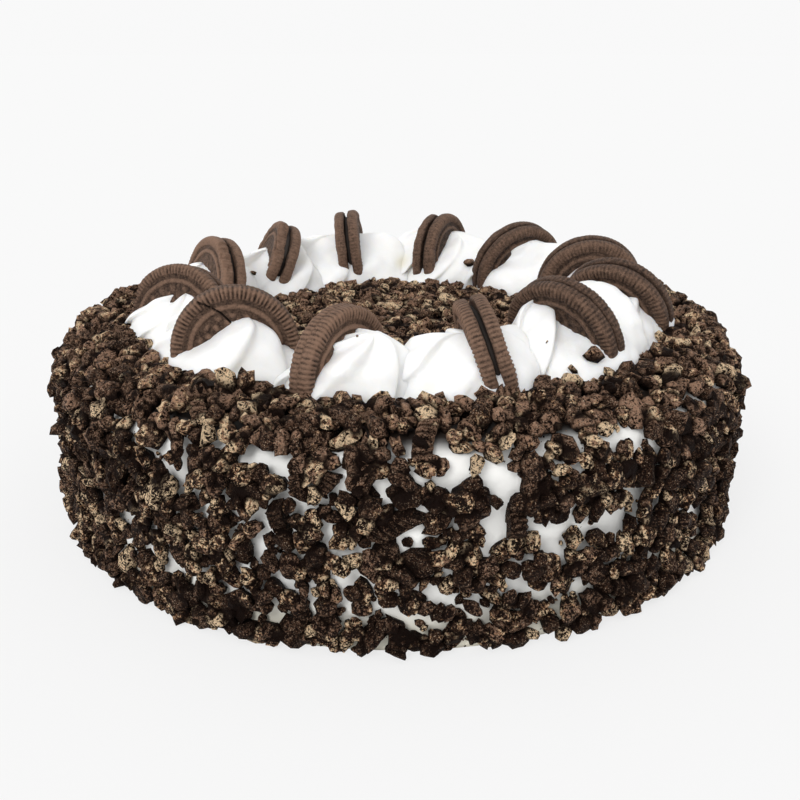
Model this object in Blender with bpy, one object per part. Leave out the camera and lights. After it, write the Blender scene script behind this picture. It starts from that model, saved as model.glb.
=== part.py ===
"""Cookies and cream cake, 28 cm across and 10 cm high.

A low round cake, frosted all over, is coated with broken chocolate biscuit: on the side, over the
shoulder and across the middle of its top. A ring of twelve piped rosettes stands on the bare
frosting between, and a whole sandwich biscuit is pushed on edge into each rosette, down into the
frosting. The origin is the middle of the cake's flat base. The front of the cake is at -Y.
"""
import math
import random

import bmesh
import bpy
from mathutils import Matrix, Vector

MM = 0.001

# The round cake
BASE_RADIUS = 131.0 * MM
SIDE_RADIUS = 133.5 * MM
TOP_HEIGHT = 66.0 * MM
BANK_HEIGHT = 70.5 * MM
BANK_INNER_RADIUS = 112.5 * MM
SHOULDER_RADIUS = 15.0 * MM
MIDDLE_RADIUS = 58.5 * MM
MIDDLE_RISE = 1.6 * MM
MIDDLE_SHARE = 0.62
SIDE_ROWS = 6
SHOULDER_ROWS = 4
CAKE_SEGMENTS = 64
UNEVENNESS = 2.2 * MM
SIDE_BUMPS = 1.0
SHOULDER_BUMPS = 0.8
MIDDLE_BUMPS = 0.6
SEED = 12

# The broken biscuit on it: how far a crumb stands off the surface is a share of its size
CRUMB_SIZES = (7.5 * MM, 12.0 * MM)
SIDE_CRUMBS = 78
SHOULDER_CRUMBS = 30
MIDDLE_CRUMBS = 19
CRUMB_FLATNESS = 0.8
CRUMB_ROUGHNESS = 0.22
CRUMB_TIP = math.radians(40.0)
SIDE_STAND = 0.08
SHOULDER_STAND = 0.05
SHOULDER_SLOPES = (math.radians(66.0), math.radians(28.0))
SHOULDER_SHUFFLE = 0.2
MIDDLE_MARGIN = 7.2 * MM
LOWEST_CRUMB = 0.7 * MM
TURN_STEP = math.pi * (3.0 - math.sqrt(5.0))

# The ring of rosettes
PORTIONS = 12
RING_RADIUS = 85.5 * MM
ROSETTE_REACH = 24.5 * MM
ROSETTE_SPREAD = 30.0 * MM
SPREAD_POWER = 0.45
ROSETTE_HEIGHT = 26.0 * MM
ROSETTE_LOBES = 7
ROSETTE_SAMPLES = 14
LOBE_DEPTH = 0.085
ROSETTE_TWIST = math.radians(62.0)
ROSETTE_PROFILE = (
    (0.0, 0.94),
    (0.17, 1.0),
    (0.42, 0.92),
    (0.68, 0.70),
    (0.88, 0.40),
)

# The sandwich biscuits
BISCUIT_RADIUS = 22.25 * MM
BISCUIT_HALF_THICKNESS = 5.8 * MM
WAFER_INSIDE = 1.35 * MM
WAFER_EDGE = 4.2 * MM
WAFER_FACE_RADIUS = 20.3 * MM
FILLING_RADIUS = 19.4 * MM
BISCUIT_SEGMENTS = 20
CLEARANCE = 0.3 * MM

# Azimuth from the front towards +X, turn off the radial direction, lean (degrees), then the height
# of the centre and its distance from the cake's axis (mm), in order round the ring
BISCUIT_PLACES = (
    (-165.0, -15.0, -8.0, 77.5, 85.5),
    (-136.0, -29.0, 26.0, 76.5, 85.5),
    (-109.5, -38.0, 15.0, 75.5, 85.5),
    (-73.5, -38.0, 19.0, 75.5, 87.5),
    (-41.0, -40.0, 5.0, 77.5, 85.5),
    (-13.0, -22.0, -1.0, 75.5, 84.5),
    (20.5, -14.0, 17.0, 78.0, 85.0),
    (44.0, 2.0, 17.0, 80.5, 84.0),
    (76.0, -18.0, 17.0, 78.0, 87.0),
    (103.5, -16.0, 10.0, 78.0, 84.5),
    (138.5, -21.0, 13.0, 76.0, 84.5),
    (165.5, -13.0, -4.0, 76.0, 85.5),
)

# Colours in linear light, then roughness
CRUMB_FINISH = ((0.052, 0.026, 0.016), 0.85)
CREAM_FINISH = ((0.86, 0.85, 0.81), 0.45)
WAFER_FINISH = ((0.060, 0.030, 0.019), 0.75)
FILLING_FINISH = ((0.020, 0.011, 0.008), 0.8)


def clear_scene():
    """Remove every object that the scene holds."""
    for obj in list(bpy.data.objects):
        bpy.data.objects.remove(obj, do_unlink=True)


def make_material(name, finish):
    """Make a plain material of one colour and roughness."""
    colour, roughness = finish
    material = bpy.data.materials.new(name)
    material.use_nodes = True
    shader = material.node_tree.nodes["Principled BSDF"]
    shader.inputs["Base Color"].default_value = (*colour, 1.0)
    shader.inputs["Roughness"].default_value = roughness
    shader.inputs["Metallic"].default_value = 0.0
    return material


def polar(radius, azimuth, height):
    """Give the point at a radius, an azimuth from the front towards +X, and a height."""
    return Vector((radius * math.sin(azimuth), -radius * math.cos(azimuth), height))


def add_object(name, mesh, material=None, collection=None):
    """Link a mesh into the scene, or into a collection of cutters or toppings."""
    obj = bpy.data.objects.new(name, mesh)
    (collection or bpy.context.scene.collection).objects.link(obj)
    if material is not None:
        mesh.materials.append(material)
    return obj


def mesh_of_rings(name, rings, top=None):
    """Join closed rings of points, from the lowest up, and close both ends.

    Each end closes with one flat face, or the upper one on a point where one is given.
    """
    shape = bmesh.new()
    loops = [[shape.verts.new(point) for point in ring] for ring in rings]
    count = len(loops[0])
    for lower, upper in zip(loops, loops[1:]):
        for i in range(count):
            j = (i + 1) % count
            shape.faces.new((lower[i], lower[j], upper[j], upper[i]))
    shape.faces.new(list(reversed(loops[0])))
    if top is None:
        shape.faces.new(loops[-1])
    else:
        tip = shape.verts.new(top)
        for i in range(count):
            shape.faces.new((loops[-1][i], loops[-1][(i + 1) % count], tip))
    bmesh.ops.recalc_face_normals(shape, faces=shape.faces)
    bmesh.ops.triangulate(shape, faces=shape.faces)
    mesh = bpy.data.meshes.new(name)
    shape.to_mesh(mesh)
    shape.free()
    return mesh


def apply_boolean(obj, collection, operation):
    """Join the collection's objects to obj or cut them from it, apply that, and remove them."""
    bpy.context.view_layer.update()
    boolean = obj.modifiers.new(operation.lower(), "BOOLEAN")
    boolean.operation = operation
    boolean.operand_type = "COLLECTION"
    boolean.collection = collection
    boolean.solver = "EXACT"
    with bpy.context.temp_override(object=obj, active_object=obj):
        bpy.ops.object.modifier_apply(modifier=boolean.name)
    for piece in list(collection.objects):
        bpy.data.objects.remove(piece, do_unlink=True)
    bpy.data.collections.remove(collection)
    keep_main_body(obj.data)


def keep_main_body(mesh):
    """Drop loose scraps and the walls of sealed hollows, so that one body is left."""
    shape = bmesh.new()
    shape.from_mesh(mesh)
    unseen = set(shape.faces)
    bodies = []
    while unseen:
        body = set()
        front = [next(iter(unseen))]
        while front:
            face = front.pop()
            if face in unseen:
                unseen.discard(face)
                body.add(face)
                front.extend(other for edge in face.edges for other in edge.link_faces)
        bodies.append(body)
    largest = max(bodies, key=len)
    scraps = [face for body in bodies if body is not largest for face in body]
    bmesh.ops.delete(shape, geom=scraps, context="FACES")
    shape.to_mesh(mesh)
    shape.free()


def cake_profile():
    """Give the outline from the base up, over the shoulder and in to the middle.

    Each point is a radius, a height, the share of the bumps there, and the slope they stand on.
    """
    outline = [(BASE_RADIUS, 0.0, 0.0, 0.0)]
    shoulder_foot = BANK_HEIGHT - SHOULDER_RADIUS
    for row in range(SIDE_ROWS):
        share = (row + 0.5) / SIDE_ROWS
        outline.append((SIDE_RADIUS, shoulder_foot * share, SIDE_BUMPS, 0.0))
    for row in range(SHOULDER_ROWS):
        slope = math.pi / 2.0 * row / (SHOULDER_ROWS - 1)
        radius = SIDE_RADIUS - SHOULDER_RADIUS * (1.0 - math.cos(slope))
        height = shoulder_foot + SHOULDER_RADIUS * math.sin(slope)
        outline.append((radius, height, SHOULDER_BUMPS, slope))
    outline.append((BANK_INNER_RADIUS, TOP_HEIGHT, 0.0, 0.0))
    outline.append((MIDDLE_RADIUS, TOP_HEIGHT, 0.0, 0.0))
    middle = MIDDLE_RADIUS * MIDDLE_SHARE
    outline.append((middle, TOP_HEIGHT + MIDDLE_RISE, MIDDLE_BUMPS, math.pi / 2.0))
    return outline


def make_cake_body(material, draw):
    """Turn the outline round the axis, with bumps of crumb size where crumbs lie."""
    rings = []
    for row, (radius, height, bumps, slope) in enumerate(cake_profile()):
        ring = []
        for i in range(CAKE_SEGMENTS):
            azimuth = 2.0 * math.pi * (i + 0.5 * (row % 2)) / CAKE_SEGMENTS
            bump = bumps * UNEVENNESS * draw.uniform(-1.0, 1.0)
            outward = polar(math.cos(slope), azimuth, math.sin(slope))
            ring.append(polar(radius, azimuth, height) + bump * outward)
        rings.append(ring)
    middle = Vector((0.0, 0.0, TOP_HEIGHT + MIDDLE_RISE))
    mesh = mesh_of_rings("cake", rings, top=middle)
    return add_object("cake", mesh, material)


def crumb_mesh(size, draw):
    """Make one broken crumb: a flattened block whose corners are all out of place."""
    shape = bmesh.new()
    bmesh.ops.create_cube(shape, size=size)
    for vert in shape.verts:
        vert.co = Vector([x * (1.0 + CRUMB_ROUGHNESS * draw.uniform(-2.0, 1.0)) for x in vert.co])
        vert.co.z *= CRUMB_FLATNESS
    turn = Matrix.Rotation(draw.uniform(0.0, 2.0 * math.pi), 4, "Z")
    tip = Matrix.Rotation(draw.uniform(-CRUMB_TIP, CRUMB_TIP), 4, "X")
    bmesh.ops.transform(shape, matrix=turn @ tip, verts=shape.verts)
    bmesh.ops.triangulate(shape, faces=shape.faces)
    mesh = bpy.data.meshes.new("crumb")
    shape.to_mesh(mesh)
    shape.free()
    return mesh


def put_crumb(collection, size, place, outward, draw):
    """Lay a crumb with its flat side on the surface, and raise it where it would pass the base."""
    mesh = crumb_mesh(size, draw)
    facing = Vector((0.0, 0.0, 1.0)).rotation_difference(outward).to_matrix().to_4x4()
    mesh.transform(Matrix.Translation(place) @ facing)
    lowest = min(vert.co.z for vert in mesh.vertices)
    mesh.transform(Matrix.Translation((0.0, 0.0, max(LOWEST_CRUMB - lowest, 0.0))))
    add_object("crumb", mesh, collection=collection)


def crumb_sizes(count, draw):
    """Give sizes from the largest to the smallest, shuffled so that they mix on the surface."""
    small, large = CRUMB_SIZES
    sizes = [large + (small - large) * i / max(count - 1, 1) for i in range(count)]
    draw.shuffle(sizes)
    return sizes


def coat_with_crumbs(cake, draw):
    """Fuse crumbs to the side, the shoulder and the middle, spread by equal turns."""
    coating = bpy.data.collections.new("coating")
    bpy.context.scene.collection.children.link(coating)
    shoulder_foot = BANK_HEIGHT - SHOULDER_RADIUS
    for i, size in enumerate(crumb_sizes(SIDE_CRUMBS, draw)):
        height = (i + 0.5) / SIDE_CRUMBS * shoulder_foot
        azimuth = i * TURN_STEP
        place = polar(SIDE_RADIUS + SIDE_STAND * size, azimuth, height)
        put_crumb(coating, size, place, polar(1.0, azimuth, 0.0), draw)
    for i, size in enumerate(crumb_sizes(SHOULDER_CRUMBS, draw)):
        shuffle = draw.uniform(-SHOULDER_SHUFFLE, SHOULDER_SHUFFLE)
        azimuth = 2.0 * math.pi * (i + shuffle) / SHOULDER_CRUMBS
        slope = SHOULDER_SLOPES[i % 2]
        reach = SHOULDER_RADIUS + SHOULDER_STAND * size
        radius = SIDE_RADIUS - SHOULDER_RADIUS + reach * math.cos(slope)
        height = shoulder_foot + reach * math.sin(slope)
        outward = polar(math.cos(slope), azimuth, math.sin(slope))
        put_crumb(coating, size, polar(radius, azimuth, height), outward, draw)
    reach = MIDDLE_RADIUS - MIDDLE_MARGIN
    for i, size in enumerate(crumb_sizes(MIDDLE_CRUMBS, draw)):
        radius = reach * math.sqrt((i + 0.5) / MIDDLE_CRUMBS)
        place = polar(radius, i * TURN_STEP, TOP_HEIGHT + MIDDLE_RISE)
        put_crumb(coating, size, place, Vector((0.0, 0.0, 1.0)), draw)
    apply_boolean(cake, coating, "UNION")


def place_frame(index):
    """Stand an empty at a biscuit's centre, its Z axis through the biscuit's faces."""
    azimuth, turn, lean, height, radius = BISCUIT_PLACES[index]
    frame = bpy.data.objects.new(f"biscuit_{index + 1:02d}_place", None)
    bpy.context.scene.collection.objects.link(frame)
    frame.location = polar(radius * MM, math.radians(azimuth), height * MM)
    frame.rotation_euler = (0.0, math.radians(90.0 - lean), math.radians(azimuth + turn))
    return frame


def disc_mesh(name, levels):
    """Stack rings of (radius, height) into one disc that is flat at both ends."""
    rings = []
    for radius, height in levels:
        angles = [2.0 * math.pi * i / BISCUIT_SEGMENTS for i in range(BISCUIT_SEGMENTS)]
        rings.append([Vector((radius * math.cos(a), radius * math.sin(a), height)) for a in angles])
    return mesh_of_rings(name, rings)


def make_biscuit(index, frame, wafer_material, filling_material):
    """Make a sandwich biscuit: two wafers with bevelled rims and the filling between them."""
    label = f"biscuit_{index + 1:02d}"
    levels = (
        (BISCUIT_RADIUS, WAFER_INSIDE),
        (BISCUIT_RADIUS, WAFER_EDGE),
        (WAFER_FACE_RADIUS, BISCUIT_HALF_THICKNESS),
    )
    below = [(radius, -height) for radius, height in reversed(levels)]
    fill_level = WAFER_INSIDE - CLEARANCE
    filling = ((FILLING_RADIUS, -fill_level), (FILLING_RADIUS, fill_level))
    pieces = (
        (f"{label}_wafer_a", levels, wafer_material),
        (f"{label}_wafer_b", below, wafer_material),
        (f"{label}_filling", filling, filling_material),
    )
    for name, rings, material in pieces:
        piece = add_object(name, disc_mesh(name, rings), material)
        piece.parent = frame


def add_slot_cutter(collection, frame):
    """Put the space that a biscuit takes, with its clearance, into a collection of cutters."""
    reach = BISCUIT_HALF_THICKNESS + CLEARANCE
    radius = (BISCUIT_RADIUS + CLEARANCE) / math.cos(math.pi / BISCUIT_SEGMENTS)
    cutter = add_object("slot", disc_mesh("slot", ((radius, -reach), (radius, reach))),
                        collection=collection)
    cutter.parent = frame
    cutter.hide_render = True
    cutter.display_type = "WIRE"


def rosette_point(azimuth, share, width, angle):
    """Give a point of a rosette: a lobed oval that narrows and twists on its way up.

    It narrows less along the ring than across it, so that neighbours meet near their tops.
    """
    lobe = 1.0 + LOBE_DEPTH * math.cos(ROSETTE_LOBES * angle)
    turned = angle + ROSETTE_TWIST * share
    across = RING_RADIUS + ROSETTE_REACH * width * lobe * math.cos(turned)
    along = ROSETTE_SPREAD * width ** SPREAD_POWER * lobe * math.sin(turned)
    height = TOP_HEIGHT + CLEARANCE + ROSETTE_HEIGHT * share
    return polar(across, azimuth, height) + along * polar(1.0, azimuth + math.pi / 2.0, 0.0)


def press_inside(point, azimuth):
    """Press a point back to the flat faces where a rosette meets its neighbours."""
    half = math.pi / PORTIONS
    for side in (-1.0, 1.0):
        edge = azimuth + side * half
        normal = side * Vector((math.cos(edge), math.sin(edge), 0.0))
        excess = point.dot(normal) + CLEARANCE / 2.0
        if excess > 0.0:
            point = point - normal * excess
    return point


def make_rosette(index, frames, material):
    """Pipe one rosette, press it between its neighbours and cut the biscuits' slots in it."""
    azimuth = 2.0 * math.pi * (index + 0.5) / PORTIONS - math.pi
    rings = []
    for share, width in ROSETTE_PROFILE:
        angles = [2.0 * math.pi * i / ROSETTE_SAMPLES for i in range(ROSETTE_SAMPLES)]
        rings.append([press_inside(rosette_point(azimuth, share, width, a), azimuth) for a in angles])
    tip = polar(RING_RADIUS, azimuth, TOP_HEIGHT + CLEARANCE + ROSETTE_HEIGHT)
    name = f"rosette_{index + 1:02d}"
    rosette = add_object(name, mesh_of_rings(name, rings, top=tip), material)
    slots = bpy.data.collections.new("slots")
    bpy.context.scene.collection.children.link(slots)
    for neighbour in (index - 1, index, index + 1):
        add_slot_cutter(slots, frames[neighbour % PORTIONS])
    apply_boolean(rosette, slots, "DIFFERENCE")


def build():
    """Build the cake, its coating, the rosettes and the biscuits."""
    clear_scene()
    crumb_material = make_material("crumb_coating", CRUMB_FINISH)
    cream_material = make_material("whipped_cream", CREAM_FINISH)
    wafer_material = make_material("chocolate_wafer", WAFER_FINISH)
    filling_material = make_material("biscuit_filling", FILLING_FINISH)
    draw = random.Random(SEED)
    cake = make_cake_body(crumb_material, draw)
    coat_with_crumbs(cake, draw)
    frames = [place_frame(index) for index in range(PORTIONS)]
    pockets = bpy.data.collections.new("pockets")
    bpy.context.scene.collection.children.link(pockets)
    for frame in frames:
        add_slot_cutter(pockets, frame)
    apply_boolean(cake, pockets, "DIFFERENCE")
    for index in range(PORTIONS):
        make_rosette(index, frames, cream_material)
        make_biscuit(index, frames[index], wafer_material, filling_material)
    bpy.context.view_layer.update()


build()
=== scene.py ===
# %% [markdown]
# # A cookies and cream cake
#
# This lesson dresses a round frosted cake. Its side, shoulder and middle are coated with broken
# chocolate biscuit, and a ring of piped cream holds twelve sandwich biscuits on edge. The packed
# model gives the true sizes and places. Each step below makes one thing that the eye sees, or a
# helper for it.

# %% Load the frame
import math

import bmesh
import bpy
import numpy as np
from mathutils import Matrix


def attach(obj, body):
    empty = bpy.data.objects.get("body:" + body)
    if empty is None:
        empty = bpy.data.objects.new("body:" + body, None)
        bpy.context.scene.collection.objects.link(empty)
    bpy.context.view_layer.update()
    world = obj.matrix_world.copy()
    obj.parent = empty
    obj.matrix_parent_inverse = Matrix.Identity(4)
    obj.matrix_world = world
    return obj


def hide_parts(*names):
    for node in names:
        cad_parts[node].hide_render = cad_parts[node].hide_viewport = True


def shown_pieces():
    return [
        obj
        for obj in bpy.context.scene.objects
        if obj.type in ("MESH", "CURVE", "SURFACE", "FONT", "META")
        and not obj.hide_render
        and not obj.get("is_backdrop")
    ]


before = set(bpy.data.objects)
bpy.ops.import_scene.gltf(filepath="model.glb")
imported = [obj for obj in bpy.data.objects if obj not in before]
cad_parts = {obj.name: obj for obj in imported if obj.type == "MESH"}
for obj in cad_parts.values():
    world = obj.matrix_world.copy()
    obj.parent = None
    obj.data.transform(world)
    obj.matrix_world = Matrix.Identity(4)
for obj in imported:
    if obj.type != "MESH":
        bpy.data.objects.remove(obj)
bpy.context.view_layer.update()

# %% [markdown]
# ## Sizes
#
# A cake is built from a few driving sizes. Lengths are written in millimetres and turned into
# metres once, here, so the rest of the lesson can work in Blender's own unit.

# %% Driving sizes
MM = 0.001
FULL_TURN = 2.0 * math.pi

FROSTING_RADIUS = 130.5 * MM
SHOULDER_RADIUS = 15.0 * MM
BANK_HEIGHT = 70.0 * MM
BANK_INNER_RADIUS = 107.0 * MM
TOP_HEIGHT = 66.0 * MM
MIDDLE_RADIUS = 61.0 * MM

PORTIONS = 12
RING_RADIUS = 85.5 * MM

# %% [markdown]
# ## Helpers for meshes
#
# Every shape here is worked out as whole arrays of points. One helper puts points and faces into a
# mesh, and the others make the faces of a grid whose rows close on themselves. `foreach_set` copies
# an array in one go, which is much faster than a loop over vertices.


# %% Mesh helpers
def add_piece(name, points, face_groups, smooth=True):
    """Make an object at the origin from points (n, 3) and arrays of faces with equal corners."""
    mesh = bpy.data.meshes.new(name)
    points = np.ascontiguousarray(points, np.float32).reshape(-1, 3)
    mesh.vertices.add(len(points))
    mesh.vertices.foreach_set("co", points.ravel())
    corners = np.concatenate([np.full(len(group), group.shape[1]) for group in face_groups])
    starts = np.concatenate([[0], np.cumsum(corners)[:-1]])
    order = np.concatenate([group.ravel() for group in face_groups])
    mesh.loops.add(len(order))
    mesh.loops.foreach_set("vertex_index", order.astype(np.int32))
    mesh.polygons.add(len(corners))
    mesh.polygons.foreach_set("loop_start", starts.astype(np.int32))
    mesh.polygons.foreach_set("use_smooth", np.full(len(corners), smooth))
    mesh.update(calc_edges=True)
    mesh.validate()
    piece = bpy.data.objects.new(name, mesh)
    bpy.context.scene.collection.objects.link(piece)
    return piece


def grid_faces(rows, columns):
    """Faces of a grid whose columns close on themselves: each row's square joins the next row."""
    row, column = np.meshgrid(np.arange(rows - 1), np.arange(columns), indexing="ij")
    following = (column + 1) % columns
    here, above = row * columns, (row + 1) * columns
    corners = [here + column, here + following, above + following, above + column]
    return np.stack(corners, -1).reshape(-1, 4)


def fan_faces(first, columns, pole, upward):
    """Triangles from one closed row of a grid to a pole, facing up or down."""
    column = np.arange(columns)
    following = (column + 1) % columns
    ring = (first + column, first + following)
    if not upward:
        ring = ring[::-1]
    return np.stack([ring[0], ring[1], np.full(columns, pole)], -1)


def closed_faces(rows, columns):
    """Faces of a grid of closed rows, with its two poles stored after the grid's points."""
    total = rows * columns
    last_row = (rows - 1) * columns
    return [
        grid_faces(rows, columns),
        fan_faces(0, columns, total, False),
        fan_faces(last_row, columns, total + 1, True),
    ]


def add_closed_surface(name, points, poles):
    """Make an object from a grid of closed rows (rows, columns, 3) and its first and last pole."""
    return add_piece(name, np.vstack([points.reshape(-1, 3), poles]), closed_faces(*points.shape[:2]))


def mesh_points(mesh):
    """The points of a mesh as an array (n, 3)."""
    points = np.empty(len(mesh.vertices) * 3, np.float32)
    mesh.vertices.foreach_get("co", points)
    return points.reshape(-1, 3)


def set_values(piece, name, values):
    """Store one number for each point of a piece, for its material to read."""
    attribute = piece.data.attributes.new(name, "FLOAT", "POINT")
    attribute.data.foreach_set("value", np.ascontiguousarray(values, np.float32).ravel())


def around(radius, azimuth, height):
    """Points at a radius, an azimuth from the front towards +X, and a height, as an array."""
    azimuth, radius, height = np.broadcast_arrays(azimuth, radius, height)
    return np.stack([radius * np.sin(azimuth), -radius * np.cos(azimuth), height], -1)


def ripple(points, wavelength, seed, waves=10):
    """A smooth random field: sine waves of about one length, in random directions, added up."""
    draw = np.random.default_rng(seed)
    direction = draw.normal(size=(waves, 3))
    direction /= np.linalg.norm(direction, axis=1, keepdims=True)
    number = FULL_TURN / (wavelength * draw.uniform(0.7, 1.5, (waves, 1)))
    phase = draw.uniform(0.0, FULL_TURN, waves)
    return np.sin(points @ (direction * number).T + phase).sum(-1) / math.sqrt(waves)


def smooth_step(low, high, value):
    """Rise softly from 0 at low to 1 at high, as 3 s^2 - 2 s^3 of the share s of the way."""
    share = np.clip((value - low) / (high - low), 0.0, 1.0)
    return share * share * (3.0 - 2.0 * share)


print("helpers ready")

# %% [markdown]
# ## The outline that everything lies on
#
# Frosting, crumbs and crumb bank all follow one outline: up the side, round the shoulder, over the
# low bank and in across the top. It is measured by the distance walked along it, so that crumbs
# can be spread evenly whichever way the surface faces.


# %% The outline
SIDE_LENGTH = BANK_HEIGHT - SHOULDER_RADIUS
ARC_LENGTH = SHOULDER_RADIUS * math.pi / 2.0
BANK_LENGTH = FROSTING_RADIUS - SHOULDER_RADIUS - BANK_INNER_RADIUS
OUTLINE_LENGTH = SIDE_LENGTH + ARC_LENGTH + BANK_LENGTH


def outline(walk):
    """Radius, height and slope after walking along the outline from the foot of the side.

    The side is straight, the shoulder is a quarter circle, and the bank is level. Slope is the
    angle of the outward direction above the horizontal.
    """
    walk = np.asarray(walk, float)
    slope = np.clip((walk - SIDE_LENGTH) / SHOULDER_RADIUS, 0.0, math.pi / 2.0)
    level = np.clip(walk - SIDE_LENGTH - ARC_LENGTH, 0.0, None)
    radius = FROSTING_RADIUS - SHOULDER_RADIUS * (1.0 - np.cos(slope)) - level
    height = np.minimum(walk, SIDE_LENGTH) + SHOULDER_RADIUS * np.sin(slope)
    return radius, height, slope


print("outline length in mm:", round(OUTLINE_LENGTH / MM, 1))

# %% [markdown]
# ## The frosted cake
#
# The cake is coated in white frosting, spread with a palette knife, so its side has faint level smears. It is
# one turned surface: the outline goes round the axis, moved in and out by a few waves that are long round the
# cake and short up its side. A value in each point tells the material where to paint shade on the frosting:
# under the bank and in the middle, where it lies between heaped crumbs.


# %% The frosted cake
SMEAR_DEPTH = 0.45 * MM
SMEAR_LENGTH = 9.0 * MM
SMEAR_STRETCH = np.array([0.25, 0.25, 1.0])
SWELL_DEPTH = 0.7 * MM
SWELL_LENGTH = 70.0 * MM


def frosting_surface(columns=480, side_rows=60):
    """Turn the outline round the axis, and move it in and out along its outward direction.

    Smears are short waves, stretched four times along the cake. Swells are long waves. Both fade
    out at the foot.
    """
    radius, height, slope = outline(np.linspace(0.0, OUTLINE_LENGTH, side_rows))
    under_cream = np.array([BANK_INNER_RADIUS - 3.0 * MM, MIDDLE_RADIUS + 8.0 * MM])
    inner = np.concatenate([under_cream, MIDDLE_RADIUS * np.array([1.0, 0.7, 0.4, 0.15])])
    radius = np.concatenate([radius, inner])
    height = np.concatenate([height, np.full(len(inner), TOP_HEIGHT)])
    slope = np.concatenate([slope, np.full(len(inner), math.pi / 2.0)])
    azimuth = np.arange(columns) * FULL_TURN / columns
    points = around(radius[:, None], azimuth[None], height[:, None])
    smear = SMEAR_DEPTH * ripple(points * SMEAR_STRETCH, SMEAR_LENGTH, 3)
    smear += SWELL_DEPTH * ripple(points, SWELL_LENGTH, 4)
    smear *= smooth_step(0.0, 3.0 * MM, height)[:, None]
    outward = around(np.cos(slope)[:, None], azimuth[None], np.sin(slope)[:, None])
    points = points + smear[..., None] * outward
    poles = np.array([[0.0, 0.0, 0.0], [0.0, 0.0, TOP_HEIGHT]])
    # Painted shade: the frosting under the bank and in the middle lies between heaped crumbs
    bank_painted_shade = smooth_step(64.0 * MM, 68.0 * MM, height)
    middle_painted_shade = smooth_step(MIDDLE_RADIUS + 4.0 * MM, MIDDLE_RADIUS + 2.0 * MM, radius)
    return points, poles, np.repeat(np.maximum(bank_painted_shade, middle_painted_shade), columns)


points, poles, painted_shade_under_crumbs = frosting_surface()
frosting = add_closed_surface("frosting", points, poles)
set_values(frosting, "painted_shade_under_crumbs", np.concatenate([painted_shade_under_crumbs, [0.0, 1.0]]))
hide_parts("cake")
print("frosting faces:", len(frosting.data.polygons))

# %% [markdown]
# ## Lumps of broken biscuit
#
# A crushed biscuit gives lumps, flat shards with a clean face, and a few pieces of ridged rim. A
# lump is a small ball cut back by a few random planes, which is how brittle things break. Thousands
# of crumbs are worked out at once: one array holds all shapes of a kind, and each shape has only as
# many faces as it needs.

# %% Lumps
LUMP_PLANES = 6
WORN_POWER = 20.0


def unit_ball(subdivisions):
    """Points and triangles of an even ball of radius 1."""
    ball = bmesh.new()
    bmesh.ops.create_icosphere(ball, subdivisions=subdivisions, radius=1.0)
    points = np.array([vert.co[:] for vert in ball.verts])
    faces = np.array([[vert.index for vert in face.verts] for face in ball.faces])
    ball.free()
    return points, faces


def lump_shapes(count, draw, subdivisions=2, roughness=0.13):
    """Each lump is the part of a ball inside a few random planes.

    Along a direction, the nearest plane decides how far the surface lies, softened by a power mean
    so that edges are slightly worn. Each point then moves in or out at random, by the roughness.
    """
    directions, faces = unit_ball(subdivisions)
    normals = draw.normal(size=(count, LUMP_PLANES, 3))
    normals /= np.linalg.norm(normals, axis=2, keepdims=True)
    offsets = draw.uniform(0.45, 0.9, (count, 1, LUMP_PLANES))
    facing = np.einsum("vk,npk->nvp", directions, normals)
    reach = offsets / np.maximum(facing, 0.3)
    limits = np.concatenate([reach, np.ones(reach.shape[:2] + (1,))], 2)
    radius = (limits ** -WORN_POWER).sum(2) ** (-1.0 / WORN_POWER)
    radius *= 1.0 + roughness * draw.normal(size=radius.shape)
    return directions[None] * radius[..., None], faces


print("a lump has", len(lump_shapes(1, np.random.default_rng(1))[1]), "faces")

# %% [markdown]
# ## Flat shards
#
# Where a wafer split from its filling, it leaves flat plates with a random outline. A plate is a
# grid of four closed rows with a pole at each end, so the mesh helpers give its faces too.

# %% Shards
SHARD_CORNERS = 11
SHARD_LEVELS = np.array([-1.0, -0.72, 0.72, 1.0])
SHARD_WIDTHS = np.array([0.84, 1.0, 1.0, 0.84])


def split_quads(quads):
    """Two triangles for each four-cornered face."""
    return np.vstack([quads[:, [0, 1, 2]], quads[:, [0, 2, 3]]])


def shard_shapes(count, draw):
    """Each shard is a plate: a random outline at four levels, the outer two drawn in a little."""
    step = np.arange(SHARD_CORNERS) + draw.uniform(-0.3, 0.3, (count, SHARD_CORNERS))
    angle = step * FULL_TURN / SHARD_CORNERS
    reach = draw.uniform(0.66, 1.05, (count, SHARD_CORNERS))
    ring = np.stack([reach * np.cos(angle), reach * np.sin(angle)], -1)
    flat = ring[:, None] * SHARD_WIDTHS[None, :, None, None]
    flat = flat * (1.0 + 0.07 * draw.normal(size=flat.shape[:3] + (1,)))
    tall = np.broadcast_to(SHARD_LEVELS[None, :, None], flat.shape[:3])
    tall = tall * (1.0 + 0.09 * draw.normal(size=tall.shape))
    body = np.concatenate([flat, tall[..., None]], -1).reshape(count, -1, 3)
    poles = np.zeros((count, 2, 3))
    poles[:, :, 2] = (-1.0, 1.0)
    quads, lower, upper = closed_faces(len(SHARD_LEVELS), SHARD_CORNERS)
    return np.concatenate([body, poles], 1), np.vstack([split_quads(quads), lower, upper])


print("a shard has", len(shard_shapes(1, np.random.default_rng(1))[1]), "faces")

# %% [markdown]
# ## Pieces of ridged rim
#
# The eye picks out the pieces that come from a wafer's rim, because they keep its ridges. Such a
# piece is a short bent bar. Its section is carried along it, and grows and shrinks at every step.

# %% Pieces of rim
RIM_STEPS = 13
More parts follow.
